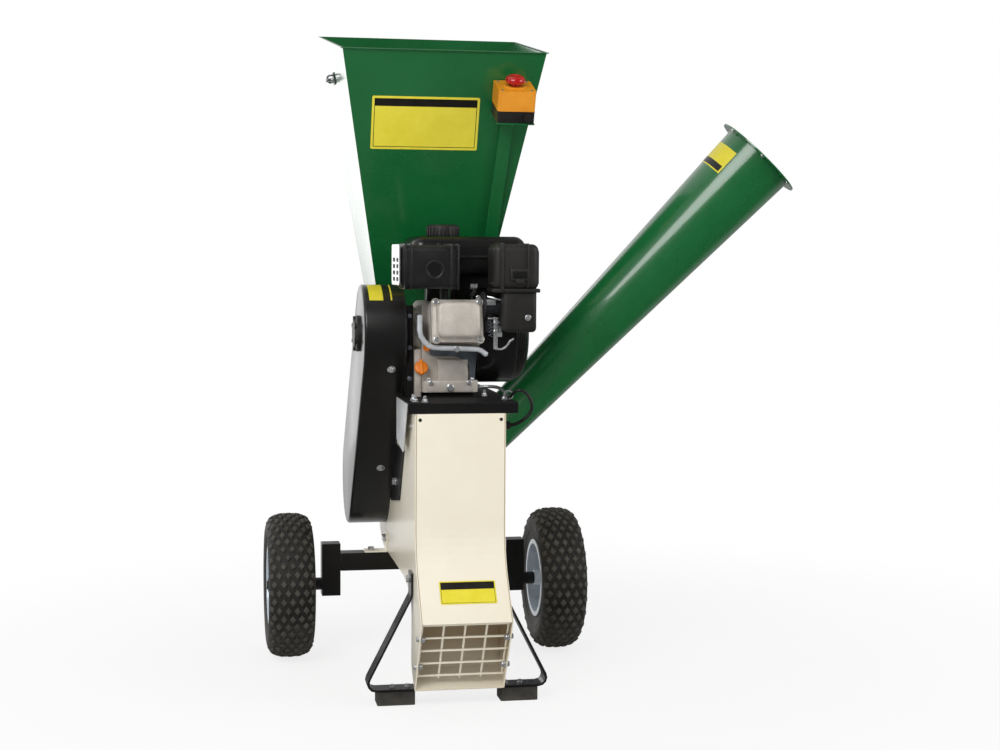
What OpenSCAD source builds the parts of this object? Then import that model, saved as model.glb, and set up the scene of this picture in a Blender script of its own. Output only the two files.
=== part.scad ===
// Petrol garden shredder: drum housing with a forward discharge duct, a top hopper, a branch chute,
// a belt drive from a horizontal-shaft engine, two pneumatic wheels and a front stand.
// Millimetres, +Z up. Sizes are set out from the middle of the axle, with -Y towards the outlet.

/* [Wheels] */
// Distance between the centre planes of the wheels
track = 610; // [580:5:680]
// Outside diameter of a tyre
tyre_od = 325; // [310:1:340]
// Width of a tyre
tyre_w = 104; // [96:1:112]
// Diameter over the rim flange
rim_d = 178; // [160:1:190]
// Width of the rim between its flanges
rim_w = 87; // [80:1:92]
// Diameter of a stub axle
spindle_d = 20; // [16:1:24]

/* [Axle] */
// How far the axle lies to the left of the body's middle
axle_shift = 9; // [0:1:20]
// Side of the square axle beam
beam_side = 40; // [34:1:44]
// Wall of the beam and of the drop brackets
beam_wall = 3; // [2:0.5:5]
// Width of a drop bracket
drop_w = 42; // [36:1:46]

/* [Body] */
// Outside width of the body
body_w = 184; // [176:1:192]
// Thickness of the body plates
plate_t = 3; // [2:0.5:4]
// Distance of the front panel ahead of the axle
front_reach = 485; // [475:1:500]
// Distance of the outlet lip ahead of the axle
lip_reach = 580; // [570:1:590]
// Height of the outlet lip
lip_z = 188; // [180:1:196]
// Height of the bend of the front panel
panel_bend_z = 306; // [300:1:315]
// Height of the underside of the body
floor_z = 234; // [230:1:240]
// Height of the top edge of the body
body_top_z = 592; // [585:1:600]
// Distance of the rotor axis behind the axle
drum_y = 40; // [36:1:44]
// Outside radius of the drum housing
drum_r = 166; // [162:1:170]

/* [Outlet grille] */
// Diameter of the grille wires
wire_d = 6; // [4:0.5:7]
// Openings of the grille across the outlet
grille_columns = 4; // [3:1:5]
// Openings of the grille down the outlet
grille_rows = 4; // [3:1:5]

/* [Stand] */
// Height of a rubber foot
foot_h = 27; // [24:1:32]
// Width of a rubber foot
foot_w = 77; // [70:1:84]
// Half the width of the stand at the floor
stand_half = 197; // [188:1:206]
// Width of the stand's flat bar
bar_w = 45; // [38:1:50]
// Thickness of the stand's flat bar
bar_t = 5; // [4:0.5:6]

/* [Hopper] */
// Half the width of the hopper at its throat
throat_half = 80; // [78:1:84]
// Sideways slope of the hopper's side walls
side_slope = 0.184; // [0.17:0.002:0.19]
// Front edge of the throat behind the axle
throat_front = 34; // [31:1:38]
// Distance of the front rim ahead of the axle
rim_front = 263; // [255:1:270]
// Distance of the back rim behind the axle
rim_back = 181; // [175:1:186]
// Height of the front rim
rim_front_z = 1334; // [1320:1:1345]
// Height of the back rim
rim_back_z = 1408; // [1395:1:1420]
// Thickness of the hopper's sheet
hopper_t = 2; // [1.5:0.5:3]
// Width of the rim's outward lip
hopper_lip = 4; // [3:1:8]

/* [Chute] */
// Length of the chute along its axis
chute_len = 912; // [870:2:950]
// Outside diameter of the chute at the body
chute_d0 = 95; // [88:1:104]
// Outside diameter of the chute at its mouth
chute_d1 = 171; // [164:1:180]
// Outside diameter of the mouth flange
chute_flange_d = 207; // [198:1:216]
// Rise of the chute above the level, in degrees
chute_rise = 46.3; // [43:0.1:49]
// Turn of the chute towards the front, in degrees
chute_turn = 13; // [9:0.5:17]
// Height of the chute's axis at the body
chute_z = 468; // [460:1:476]
// Distance of the chute's axis ahead of the axle at the body
chute_ahead = 70; // [64:1:76]

/* [Belt drive] */
// Radius of the guard round the engine's pulley
guard_r1 = 103; // [98:1:108]
// Radius of the guard round the rotor's pulley
guard_r2 = 105; // [100:1:112]
// Depth of the guard
guard_depth = 85; // [78:1:90]
// Thickness of the guard's sheet
guard_t = 2; // [1.5:0.5:3]
// Outside radius of the engine's pulley
drive_r = 48; // [40:1:56]
// Outside radius of the rotor's pulley
driven_r = 80; // [70:1:86]
// Width of the belt
belt_w = 12; // [10:0.5:14]
// Height of the belt
belt_h = 8; // [6:0.5:10]

/* [Rotor] */
// Diameter of the rotor shaft
shaft_d = 30; // [24:1:34]
// Diameter of the rotor discs
disc_d = 250; // [230:1:260]
// Reach of the hammers from the rotor axis
hammer_reach = 142; // [134:1:146]

/* [Engine] */
// Height of the deck's top
deck_top_z = 614; // [612:1:620]
// Distance of the crankshaft ahead of the axle
crank_reach = 255; // [250:1:260]
// Height of the crankshaft above the engine's base
crank_h = 118; // [114:1:122]
// Diameter of the crankshaft
crank_d = 25; // [20:1:28]
// Tilt of the cylinder above the level, in degrees
cyl_tilt = 12; // [10:0.5:14]
// Radius of the fan cover
fan_r = 104; // [98:1:108]

/* [Stop switch] */
// Side of the switch box
switch_side = 80; // [74:1:86]
// Diameter of the mushroom button
button_d = 42; // [36:1:48]
// Travel of the mushroom button
button_travel = 5; // [3:0.5:6]

/* [Clearances] */
// Gap between faces that move past each other
run_gap = 0.3; // [0.2:0.05:0.6]
// Radial gap of a shaft in its bore
bore_gap = 0.05; // [0.02:0.01:0.1]

/* [Hidden] */
$fn = 48;

half_w = body_w / 2;
inner_w = body_w - 2 * plate_t;
axle_z = tyre_od / 2;
drum_z = floor_z + drum_r;
sill_z = foot_h + bar_t;
crank_y = -crank_reach;
engine_z = deck_top_z + 10;
crank_z = engine_z + crank_h;
wheel_x = track / 2;

// Chute: the unit vector of its axis, and the point where the axis meets the body
chute_dir = [cos(chute_rise) * cos(chute_turn), -cos(chute_rise) * sin(chute_turn), sin(chute_rise)];
chute_foot = [half_w, -chute_ahead, chute_z];
chute_tip = chute_foot + chute_len * chute_dir;
chute_tip_x = chute_tip.x + chute_flange_d / 2 * sqrt(1 - chute_dir.x * chute_dir.x);

// The part's origin: the middle of its box, on the floor
centre_x = (chute_tip_x - wheel_x - axle_shift - tyre_w / 2) / 2;
centre_y = (drum_y + drum_r - lip_reach) / 2;

// Unit vector of v
function unit(v) = v / norm(v);

// Unit normal to the left of the way from a to b
function left_normal(a, b) = let (d = unit(b - a)) [-d.y, d.x];

// Point i of path p moved to the left by t, mitred at the corners
function shifted(p, i, t) =
    i == 0 ? p[0] + t * left_normal(p[0], p[1])
    : i == len(p) - 1 ? p[i] + t * left_normal(p[i - 1], p[i])
    : let (n0 = left_normal(p[i - 1], p[i]), n1 = left_normal(p[i], p[i + 1]), m = unit(n0 + n1))
        p[i] + m * t / (m * n0);

// Closed outline of a sheet of thickness t laid to the left of path p
function band(p, t) = concat(p, [for (i = [len(p) - 1 : -1 : 0]) shifted(p, i, t)]);

// Arc of radius r and n steps in the corner b between a and c
function bend(a, b, c, r, n) =
    let (d0 = unit(a - b), d1 = unit(c - b), half = acos(d0 * d1) / 2, turn = 180 - 2 * half)
    let (hub = b + unit(d0 + d1) * r / sin(half), reach = r / tan(half))
    let (u = b + d0 * reach - hub, v = b + d1 * reach - hub)
    [for (k = [0 : n]) hub + (sin((1 - k / n) * turn) * u + sin(k / n * turn) * v) / sin(turn)];

// Open path p with each inner corner i rounded to radius r[i]
function rounded(p, r, n = 4) =
    [p[0], for (i = [1 : len(p) - 2]) each bend(p[i - 1], p[i], p[i + 1], r[i], n), p[len(p) - 1]];

// Closed outline p with every corner rounded to radius r
function rounded_loop(p, r, n = 4) =
    let (m = len(p)) [for (i = [0 : m - 1]) each bend(p[(i + m - 1) % m], p[i], p[(i + 1) % m], r, n)];

// Outline of a band that runs round two circles
function stadium(c1, r1, c2, r2, n = 16) =
    let (d = c2 - c1, base = atan2(d.y, d.x), open = acos((r1 - r2) / norm(d)))
    concat(
        [for (k = [0 : n]) let (a = base + open + k / n * (360 - 2 * open)) c1 + r1 * [cos(a), sin(a)]],
        [for (k = [0 : n]) let (a = base - open + k / n * 2 * open) c2 + r2 * [cos(a), sin(a)]]
    );

// Rectangle from low to high corner, as an outline
function rectangle(low, high) = [low, [high.x, low.y], high, [low.x, high.y]];

// Extrudes a (Y, Z) outline along X, from x0 to x1
module along_x(x0, x1) {
    translate([x0, 0, 0])
        rotate([90, 0, 90])
            linear_extrude(height = x1 - x0)
                children();
}

// Extrudes an (X, Z) outline along Y, from y0 to y1
module along_y(y0, y1) {
    translate([0, y1, 0])
        rotate([90, 0, 0])
            linear_extrude(height = y1 - y0)
                children();
}

// Extrudes an (X, Y) outline along Z, from z0 to z1
module along_z(z0, z1) {
    translate([0, 0, z0])
        linear_extrude(height = z1 - z0)
            children();
}

// Box from its low to its high corner, with its upright edges rounded
module pillar(low, high, r) {
    along_z(low.z, high.z)
        polygon(rounded_loop(rectangle([low.x, low.y], [high.x, high.y]), r));
}

// Box from its low to its high corner, with the edges along Y rounded
module slab(low, high, r) {
    along_y(low.y, high.y)
        polygon(rounded_loop(rectangle([low.x, low.z], [high.x, high.z]), r));
}

// Round bar along X, from x0 to x1
module rod_x(d, x0, x1) {
    translate([x0, 0, 0])
        rotate([0, 90, 0])
            cylinder(d = d, h = x1 - x0);
}

// Revolves an outline of (radius, X) about the X axis
module turned() {
    rotate([0, 90, 0])
        rotate_extrude($fn = 64)
            children();
}

// Draws its children on the left side and mirrored on the right side
module both_sides() {
    children();
    mirror([1, 0, 0]) children();
}

// Hexagon head with a washer, its axis along +Z from the seat
module hex_head(d) {
    cylinder(d = 2.1 * d, h = 0.25 * d);
    translate([0, 0, 0.25 * d])
        cylinder(d = 1.8 * d, h = 0.65 * d, $fn = 6);
}

// Dome head with a collar, its axis along +Z from the seat
module dome_head(d) {
    cylinder(d = 2.2 * d, h = 0.2 * d);
    translate([0, 0, 0.2 * d])
        cylinder(d1 = 1.8 * d, d2 = 1.0 * d, h = 0.5 * d);
}

// Body outlines in (Y, Z): the front panel, the duct floor and the drum wrap
drum_back = drum_y + drum_r;
front_path = rounded(
    [[-front_reach, body_top_z], [-front_reach, panel_bend_z], [-lip_reach, lip_z]],
    [0, 150, 0], 6
);
floor_path = rounded(
    [
        [-front_reach, sill_z], [55 - front_reach, sill_z + 42], [47 - front_reach, floor_z - 19],
        [185 - front_reach, floor_z], [drum_y, floor_z]
    ],
    [0, 40, 50, 60, 0]
);
wrap_steps = 10;
wrap_path = [
    [drum_y, floor_z], [drum_y + 1, floor_z],
    for (k = [1 : wrap_steps]) let (a = 90 * k / wrap_steps - 90)
        [drum_y + drum_r * cos(a), drum_z + drum_r * sin(a)],
    [drum_back, body_top_z]
];
body_outline = concat(front_path, floor_path, [for (k = [1 : len(wrap_path) - 1]) wrap_path[k]]);

body_cream = "#EFE9DA";
frame_black = "#1B1C1E";
paint_green = "#0E5A32";
zinc = "#C9CDD0";
cast_grey = "#B9B6AE";

// Places its children on the chute's axis, s from the body, with +Z along the axis
module on_chute(s) {
    translate(chute_foot + s * chute_dir)
        rotate([0, 90 - chute_rise, -chute_turn])
            children();
}

module side_plate(x0) {
    along_x(x0, x0 + plate_t)
        difference() {
            polygon(body_outline);
            translate([drum_y, drum_z]) circle(d = shaft_d + 8);
        }
}

module side_plate_left() {
    color(body_cream) side_plate(-half_w);
}

module side_plate_right() {
    color(body_cream)
        difference() {
            side_plate(half_w - plate_t);
            on_chute(-60) cylinder(d = chute_d0 - 16, h = 120);
        }
}

module front_panel() {
    color(body_cream)
        along_x(-inner_w / 2, inner_w / 2)
            polygon(band(front_path, plate_t));
}

module duct_floor() {
    color(body_cream)
        along_x(-inner_w / 2, inner_w / 2)
            polygon(band(floor_path, plate_t));
}

module drum_wrap() {
    color(body_cream)
        along_x(-inner_w / 2, inner_w / 2)
            polygon(band(wrap_path, plate_t));
}

// Outlet plane: from the sill up to the lip, set back by the grille's depth
outlet_low = [-front_reach, sill_z];
outlet_high = [-lip_reach, lip_z];
outlet_len = norm(outlet_high - outlet_low);
outlet_lean = atan2(front_reach - lip_reach, lip_z - sill_z);
grille_back = 12;
grille_low = 26;
grille_high = outlet_len - 14;
grille_half = inner_w / 2 - run_gap;

// Places its children in the outlet plane, with X across, Z up the plane and +Y into the duct
module on_outlet() {
    translate([0, outlet_low.x, outlet_low.y])
        rotate([-outlet_lean, 0, 0])
            children();
}

module outlet_grille() {
    pitch_x = 2 * grille_half / grille_columns;
    pitch_z = (grille_high - grille_low) / grille_rows;
    color(body_cream)
        on_outlet()
            translate([0, grille_back, 0]) {
                for (k = [0 : grille_rows])
                    translate([-grille_half, -wire_d / 2, grille_low + k * pitch_z - wire_d / 2])
                        cube([2 * grille_half, wire_d, wire_d]);
                for (k = [0 : grille_columns])
                    let (inset = k == 0 ? 0 : k == grille_columns ? wire_d : wire_d / 2)
                        translate([k * pitch_x - grille_half - inset, -wire_d / 2, grille_low - 10])
                            cube([wire_d, wire_d, grille_high - grille_low + 10]);
            }
}

// Rectangular hollow bar: outline outside low to high, with its wall
module tube_outline(low, high, wall) {
    difference() {
        polygon(rectangle(low, high));
        polygon(rectangle(low + [wall, wall], high - [wall, wall]));
    }
}

drop_out = wheel_x - tyre_w / 2 - 21;
drop_in = drop_out - drop_w;
drop_low = axle_z - 25;
drop_high = floor_z + 22;
beam_low = floor_z - beam_side;

// Moves what is set out from the axle's middle to its place
module on_axle() {
    translate([-axle_shift, 0, 0]) children();
}

module axle_beam() {
    color(frame_black)
        along_x(-drop_in - axle_shift, drop_in - axle_shift)
            tube_outline([-beam_side / 2, beam_low], [beam_side / 2, floor_z], beam_wall);
}

module drop_bracket() {
    difference() {
        translate([-drop_out, -beam_side / 2, drop_low]) cube([drop_w, beam_side, drop_high - drop_low]);
        translate([beam_wall - drop_out, beam_wall - beam_side / 2, drop_low - 1])
            cube([drop_w - 2 * beam_wall, beam_side - 2 * beam_wall, drop_high - drop_low - beam_wall + 1]);
        translate([0, 0, axle_z]) rod_x(spindle_d + 2 * bore_gap, -drop_out - 1, 1 - drop_in);
    }
}

module drop_brackets() {
    color(frame_black) on_axle() both_sides() drop_bracket();
}

hub_in = 46;
hub_out = 30;
axial_gap = 0.5;
spindle_end = wheel_x + hub_out + 20;

// Stub axle with its inner collar, its washer and its end nut
module spindle() {
    translate([0, 0, axle_z]) {
        rod_x(spindle_d, -spindle_end, -drop_in);
        rod_x(spindle_d + 8, hub_in + axial_gap - wheel_x, -drop_out);
        rod_x(spindle_d + 14, -wheel_x - hub_out - axial_gap - 2.5, -wheel_x - hub_out - axial_gap);
        translate([-spindle_end + 3, 0, 0])
            rotate([0, 90, 0])
                cylinder(d = spindle_d + 10, h = 14, $fn = 6);
    }
}

module spindles() {
    color(frame_black) on_axle() both_sides() spindle();
}

saddle_reach = 52;
saddle_high = floor_z + 46;
saddle_half = beam_side / 2;

// Angle with one flange on the side plate and the other on the beam
module saddle_bracket() {
    along_x(-half_w - plate_t, -half_w)
        polygon(rectangle([-saddle_half, floor_z], [saddle_half, saddle_high]));
    along_x(-half_w - saddle_reach, -half_w - plate_t)
        polygon(rectangle([-saddle_half, floor_z], [saddle_half, floor_z + plate_t]));
}

module saddle_brackets() {
    color(body_cream) both_sides() saddle_bracket();
}

stand_tab_low = 222;
stand_tab_high = 268;
stand_back = 65 - front_reach;
stand_bolt_z = 254;
stand_side = half_w + bar_t;
stand_path = rounded(
    [
        [-stand_side, stand_tab_high], [-stand_side, stand_tab_low], [-stand_half, foot_h],
        [stand_half, foot_h], [stand_side, stand_tab_low], [stand_side, stand_tab_high]
    ],
    [0, 20, 18, 18, 20, 0]
);

module stand() {
    color(frame_black)
        along_y(stand_back - bar_w, stand_back)
            polygon(band(stand_path, bar_t));
}

foot_inset = 32;
foot_x = stand_half - foot_inset - foot_w / 2;

module foot(x) {
    pillar([x - foot_w / 2, stand_back - bar_w - 3, 0], [x + foot_w / 2, stand_back + 3, foot_h], 4);
}

module foot_left() {
    color("#18191A") foot(-foot_x);
}

module foot_right() {
    color("#18191A") foot(foot_x);
}

module foot_bolts() {
    color(zinc)
        for (side = [-1, 1], k = [-1, 1])
            translate([side * (foot_x - 10) + k * foot_w / 5, stand_back - bar_w / 2, sill_z])
                hex_head(6);
}

// Hopper: half width at height z, and the line of its front wall
hopper_low = body_top_z + 3;
function hopper_half(z) = throat_half + side_slope * (z - hopper_low);
front_low = [throat_front, hopper_low];
front_high = [-rim_front, rim_front_z];
back_high = [rim_back, rim_back_z];
back_low = [drum_back, hopper_low];
face_lean = atan2(throat_front + rim_front, rim_front_z - hopper_low);
rim_tilt = atan2(rim_back_z - rim_front_z, rim_back + rim_front);
rim_len = norm(back_high - front_high);

// Solid between the front and back wall lines and the tapering side walls, drawn in by wall t
module hopper_form(t, over) {
    up_front = unit(front_high - front_low);
    up_back = unit(back_high - back_low);
    in_front = t * [up_front.y, -up_front.x];
    in_back = t * [-up_back.y, up_back.x];
    top_z = rim_back_z + 2 * over + 10;
    intersection() {
        along_x(-600, 600)
            polygon([
                front_low + in_front - over * up_front, front_high + in_front + over * up_front,
                back_high + in_back + over * up_back, back_low + in_back - over * up_back
            ]);
        along_y(-600, 600)
            polygon([
                [t - hopper_half(hopper_low - 2 * over), hopper_low - 2 * over],
                [hopper_half(hopper_low - 2 * over) - t, hopper_low - 2 * over],
                [hopper_half(top_z) - t, top_z], [t - hopper_half(top_z), top_z]
            ]);
    }
}

// Ring of the rim's outward lip, in the plane of the rim
module rim_lip() {
    half_f = hopper_half(rim_front_z);
    half_b = hopper_half(rim_back_z);
    translate([0, front_high.x, front_high.y])
        rotate([rim_tilt, 0, 0])
            linear_extrude(height = hopper_t)
                difference() {
                    polygon([
                        [-half_f - hopper_lip, -4], [half_f + hopper_lip, -4],
                        [half_b + hopper_lip, rim_len + 4], [-half_b - hopper_lip, rim_len + 4]
                    ]);
                    polygon([
                        [hopper_t - half_f, hopper_t + 1], [half_f - hopper_t, hopper_t + 1],
                        [half_b - hopper_t, rim_len - hopper_t], [hopper_t - half_b, rim_len - hopper_t]
                    ]);
                }
}

// Outline of the foot flange, narrow at its front to pass the belt guard
foot_half = half_w + 13;

module hopper_foot() {
    step = throat_front + 18;
    polygon([
        [-half_w, throat_front - 12], [half_w, throat_front - 12], [half_w, step], [foot_half, step],
        [foot_half, drum_back], [-foot_half, drum_back], [-foot_half, step], [-half_w, step]
    ]);
}

module hopper() {
    color(paint_green) {
        difference() {
            hopper_form(0, 0);
            hopper_form(hopper_t, 30);
        }
        rim_lip();
        along_z(body_top_z, hopper_low)
            difference() {
                hopper_foot();
                polygon(rectangle(
                    [hopper_t - throat_half, throat_front + 3], [throat_half - hopper_t, drum_back - plate_t]
                ));
            }
    }
}

module chute() {
    grow = (chute_d1 - chute_d0) / 2 / chute_len;
    wall = 2;
    start = -90;
    stop = chute_len - 3;
    r_start = chute_d0 / 2 + grow * start;
    r_stop = chute_d0 / 2 + grow * stop;
    color(paint_green)
        difference() {
            on_chute(0)
                rotate_extrude($fn = 64)
                    polygon([
                        [r_start - wall, start], [r_start, start], [r_stop, stop], [r_stop - wall, stop]
                    ]);
            translate([half_w - 400, -300, 0]) cube([400, 600, 900]);
        }
}

module chute_flange() {
    color(paint_green)
        on_chute(chute_len - 3)
            difference() {
                cylinder(d = chute_flange_d, h = 3, $fn = 64);
                translate([0, 0, -1]) cylinder(d = chute_d1 - 4, h = 5, $fn = 64);
            }
}

module chute_screws() {
    ring = (chute_flange_d + chute_d1) / 4;
    color(zinc)
        on_chute(chute_len - 3)
            for (k = [0 : 5])
                rotate([0, 0, 60 * k + 30])
                    translate([ring, 0, 0])
                        mirror([0, 0, 1])
                            dome_head(5);
}

// Stop switch, on the front wall of the hopper
switch_x = 144;
switch_z = 1213;
shelf_t = 3;
base_h = 24;
cover_h = 44;
box_wall = 3;
box_gap = 4;
plunger_d = 20;
button_lift = button_travel + 3;
base_top = shelf_t + base_h;
cover_top = base_top + cover_h;

// Places its children on the hopper's front wall, with +Z up the wall and -Y out of it
module on_face(x, z) {
    drop = (z - hopper_low) / (rim_front_z - hopper_low);
    translate([x, throat_front - drop * (throat_front + rim_front), z])
        rotate([face_lean, 0, 0])
            children();
}

module estop_bracket() {
    color(paint_green)
        on_face(switch_x, switch_z) {
            translate([-switch_side / 2, -shelf_t, -14]) cube([switch_side, shelf_t, 14]);
            translate([-switch_side / 2, -switch_side - box_gap - 4, 0])
                cube([switch_side, switch_side + box_gap + 4, shelf_t]);
        }
}

module switch_shell(z0, z1) {
    pillar([-switch_side / 2, -switch_side - box_gap, z0], [switch_side / 2, -box_gap, z1], 6);
}

module switch_core(z0, z1) {
    pillar(
        [box_wall - switch_side / 2, box_wall - switch_side - box_gap, z0],
        [switch_side / 2 - box_wall, -box_gap - box_wall, z1], 4
    );
}

module estop_base() {
    color(frame_black)
        on_face(switch_x, switch_z) {
            difference() {
                switch_shell(shelf_t, base_top);
                switch_core(shelf_t + box_wall, base_top + 1);
            }
            translate([switch_side / 2 - 16, -switch_side - box_gap - 10, shelf_t + 12])
                rotate([-90, 0, 0])
                    cylinder(d = 18, h = 12);
        }
}

module estop_cover() {
    color("#F2A916")
        on_face(switch_x, switch_z)
            difference() {
                switch_shell(base_top, cover_top);
                switch_core(base_top - 1, cover_top - box_wall);
                translate([0, -switch_side / 2 - box_gap, base_top])
                    cylinder(d = plunger_d + 2 * run_gap, h = cover_h + 1);
            }
}

module estop_button() {
    color("#D21C20")
        on_face(switch_x, switch_z)
            translate([0, -switch_side / 2 - box_gap, 0]) {
                translate([0, 0, cover_top - 18]) cylinder(d = plunger_d, h = 18 + button_lift + 1);
                translate([0, 0, cover_top + button_lift])
                    rotate_extrude()
                        polygon([
                            [0, 0], [button_d / 2 - 2, 0], [button_d / 2, 3], [button_d / 2, 8],
                            [button_d / 2 - 4, 12], [button_d / 4, 14], [0, 14.5]
                        ]);
            }
}

channel_len = 330;
channel_w = 28;
channel_d = 12;

module cable_channel() {
    color(paint_green)
        on_face(switch_x - 3, switch_z - 15)
            rotate([0, 3.7, 0])
                difference() {
                    translate([-channel_w / 2, -channel_d, -channel_len])
                        cube([channel_w, channel_d, channel_len]);
                    translate([2 - channel_w / 2, 2 - channel_d, -channel_len - 1])
                        cube([channel_w - 4, channel_d, channel_len + 2]);
                }
}

// Belt drive, in (Y, Z)
crank_c = [crank_y, crank_z];
rotor_c = [drum_y, drum_z];
back_t = 3;
guard_in = -half_w - back_t;
guard_out = guard_in - guard_depth;
belt_x = guard_in - guard_depth / 2;

module belt_guard() {
    color(frame_black) {
        along_x(guard_out + guard_t, guard_in)
            difference() {
                polygon(stadium(crank_c, guard_r1, rotor_c, guard_r2, 24));
                polygon(stadium(crank_c, guard_r1 - guard_t, rotor_c, guard_r2 - guard_t, 24));
            }
        along_x(guard_out, guard_out + guard_t)
            polygon(stadium(crank_c, guard_r1, rotor_c, guard_r2, 24));
    }
}

// Bracket in front of the guard on the side plate, in (Y, Z)
guard_tab_z = 501;
guard_tab = [
    [crank_y - 68, guard_tab_z], [crank_y + 8, guard_tab_z - 116], [crank_y + 152, guard_tab_z - 136],
    [crank_y + 200, guard_tab_z - 120], [crank_y + 110, guard_tab_z]
];

module guard_backplate() {
    color(frame_black)
        along_x(guard_in, -half_w)
            difference() {
                union() {
                    polygon(stadium(crank_c, guard_r1, rotor_c, guard_r2, 24));
                    polygon(guard_tab);
                }
                translate(crank_c) circle(d = crank_d + 16);
                translate(rotor_c) circle(d = shaft_d + 8);
            }
}

module guard_cap() {
    color(frame_black)
        translate([0, crank_c.x, crank_c.y]) {
            rod_x(76, guard_out - 9, guard_out);
            rod_x(64, guard_out - 14, guard_out - 9);
        }
}

module v_belt() {
    color("#202020")
        along_x(belt_x - belt_w / 2, belt_x + belt_w / 2)
            difference() {
                polygon(stadium(crank_c, drive_r, rotor_c, driven_r, 24));
                polygon(stadium(crank_c, drive_r - belt_h, rotor_c, driven_r - belt_h, 24));
            }
}

// Grooved pulley of radius r on a shaft of diameter d, centred at the origin, its axis along X
module pulley(r, d) {
    half = belt_w / 2 + 6;
    slot = belt_w / 2 + 0.5;
    floor_r = r - belt_h - 1.5;
    bore_r = d / 2 + bore_gap;
    turned()
        polygon([
            [bore_r, -half], [r + 2, -half], [r + 2, -slot], [floor_r, -slot],
            [floor_r, slot], [r + 2, slot], [r + 2, half], [bore_r, half]
        ]);
}

module drive_pulley() {
    color("#3A3B3D") translate([belt_x, crank_c.x, crank_c.y]) pulley(drive_r, crank_d);
}

module driven_pulley() {
    color("#3A3B3D") translate([belt_x, rotor_c.x, rotor_c.y]) pulley(driven_r, shaft_d);
}

bearing_w = 18;
bearing_d = 76;

module bearing(x0) {
    translate([0, rotor_c.x, rotor_c.y])
        difference() {
            rod_x(bearing_d, x0, x0 + bearing_w);
            rod_x(shaft_d + 2 * bore_gap, x0 - 1, x0 + bearing_w + 1);
        }
}

module rotor_bearings() {
    color("#55585B") {
        bearing(guard_in - bearing_w);
        bearing(half_w);
    }
}

module rotor_shaft() {
    color("#8D9093")
        translate([0, rotor_c.x, rotor_c.y])
            rod_x(shaft_d, belt_x - belt_w, half_w + bearing_w + 8);
}

disc_t = 10;
disc_x = inner_w / 2 - 12;
rod_ring = disc_d / 2 - 20;

// Two discs on a hub, joined by four rods that carry the hammers
module rotor_drum() {
    color("#6A6D70")
        translate([0, rotor_c.x, rotor_c.y]) {
            difference() {
                union() {
                    rod_x(disc_d, -disc_x, disc_t - disc_x);
                    rod_x(disc_d, disc_x - disc_t, disc_x);
                    rod_x(shaft_d + 24, -disc_x, disc_x);
                }
                rod_x(shaft_d + 2 * bore_gap, -disc_x - 1, disc_x + 1);
            }
            for (k = [0 : 3])
                rotate([90 * k, 0, 0])
                    translate([0, rod_ring, 0]) {
                        rod_x(16, -disc_x + 2, disc_x - 2);
                        for (m = [-2 : 2])
                            translate([28 * m - 4, -14, -18]) cube([8, hammer_reach - rod_ring + 14, 36]);
                    }
        }
}

// Engine: its crank axis lies along X at crank_c
case_left = -58;
foot_top_z = engine_z + 24;
case_right = 58;
case_front = crank_y - 75;
case_back = crank_y + 70;
pto_left = -half_w + 2;

module crankcase() {
    color(cast_grey)
        difference() {
            union() {
                pillar([case_left, crank_y - 92, engine_z], [case_right, crank_y + 82, foot_top_z], 6);
                slab([case_left, case_front, engine_z + 12], [case_right - 4, case_back, crank_z + 68], 12);
                translate([0, crank_c.x, crank_c.y]) rod_x(110, pto_left, case_left + 1);
                translate([0, crank_c.x, crank_c.y]) rod_x(80, case_right - 8, case_right);
                translate([case_left + 32, crank_y - 84, engine_z + 12]) cube([63, 12, 55]);
            }
            translate([0, crank_c.x, crank_c.y])
                rod_x(crank_d + 2 * bore_gap, pto_left - 1, case_right + 1);
        }
    color(cast_grey)
        difference() {
            pillar([-half_w + 16, crank_y - 78, deck_top_z], [case_left, crank_y - 54, engine_z + 88], 6);
            translate([0, crank_c.x, crank_c.y]) rod_x(111, pto_left - 1, case_left + 2);
        }
    color(cast_grey) on_filler() translate([0, 0, -12]) cylinder(d = 20, h = 20 - run_gap);
}

fan_left = case_right;
fan_right = fan_left + 80;

module crankshaft() {
    color("#8D9093")
        translate([0, crank_c.x, crank_c.y])
            rod_x(crank_d, belt_x - belt_w, fan_right - 8);
}

module flywheel() {
    color("#4B4D50")
        translate([fan_left + 42, crank_c.x, crank_c.y])
            turned()
                polygon([
                    [crank_d / 2 + bore_gap, -24], [40, -24], [fan_r - 14, -12], [fan_r - 14, 12],
                    [60, 20], [crank_d / 2 + bore_gap, 20]
                ]);
}

// Places its children on the cylinder's axis, with +Z away from the crank
module on_cylinder(u) {
    translate([0, crank_c.x, crank_c.y])
        rotate([90 - cyl_tilt, 0, 0])
            translate([0, 0, u])
                children();
}

bore_x = 5;
fin_half = fan_left - bore_x;
fin_half_v = 42;
head_u = 152;
fin_pitch = 9;

module cylinder_form() {
    on_cylinder(0) {
        translate([bore_x - 38, -38, 60]) cube([76, 76, head_u - 60]);
        for (u = [84 : fin_pitch : head_u - 26])
            translate([bore_x - fin_half, -fin_half_v, u]) cube([2 * fin_half, 2 * fin_half_v, 3]);
        translate([bore_x - fin_half, -fin_half_v, head_u - 20]) cube([2 * fin_half, 2 * fin_half_v, 20]);
    }
}

module engine_cylinder() {
    color(cast_grey)
        difference() {
            cylinder_form();
            translate([-200, case_front, engine_z]) cube([400, 300, 400]);
        }
}

cover_half_x = 51;
cover_half_v = 44;

module valve_cover() {
    color("#C2BFB7")
        on_cylinder(head_u) {
            pillar([bore_x - cover_half_x, -cover_half_v, 0], [bore_x + cover_half_x, cover_half_v, 5], 10);
            pillar(
                [bore_x - cover_half_x + 7, 6 - cover_half_v, 5],
                [bore_x + cover_half_x - 7, cover_half_v - 6, 30], 12
            );
        }
}

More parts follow.
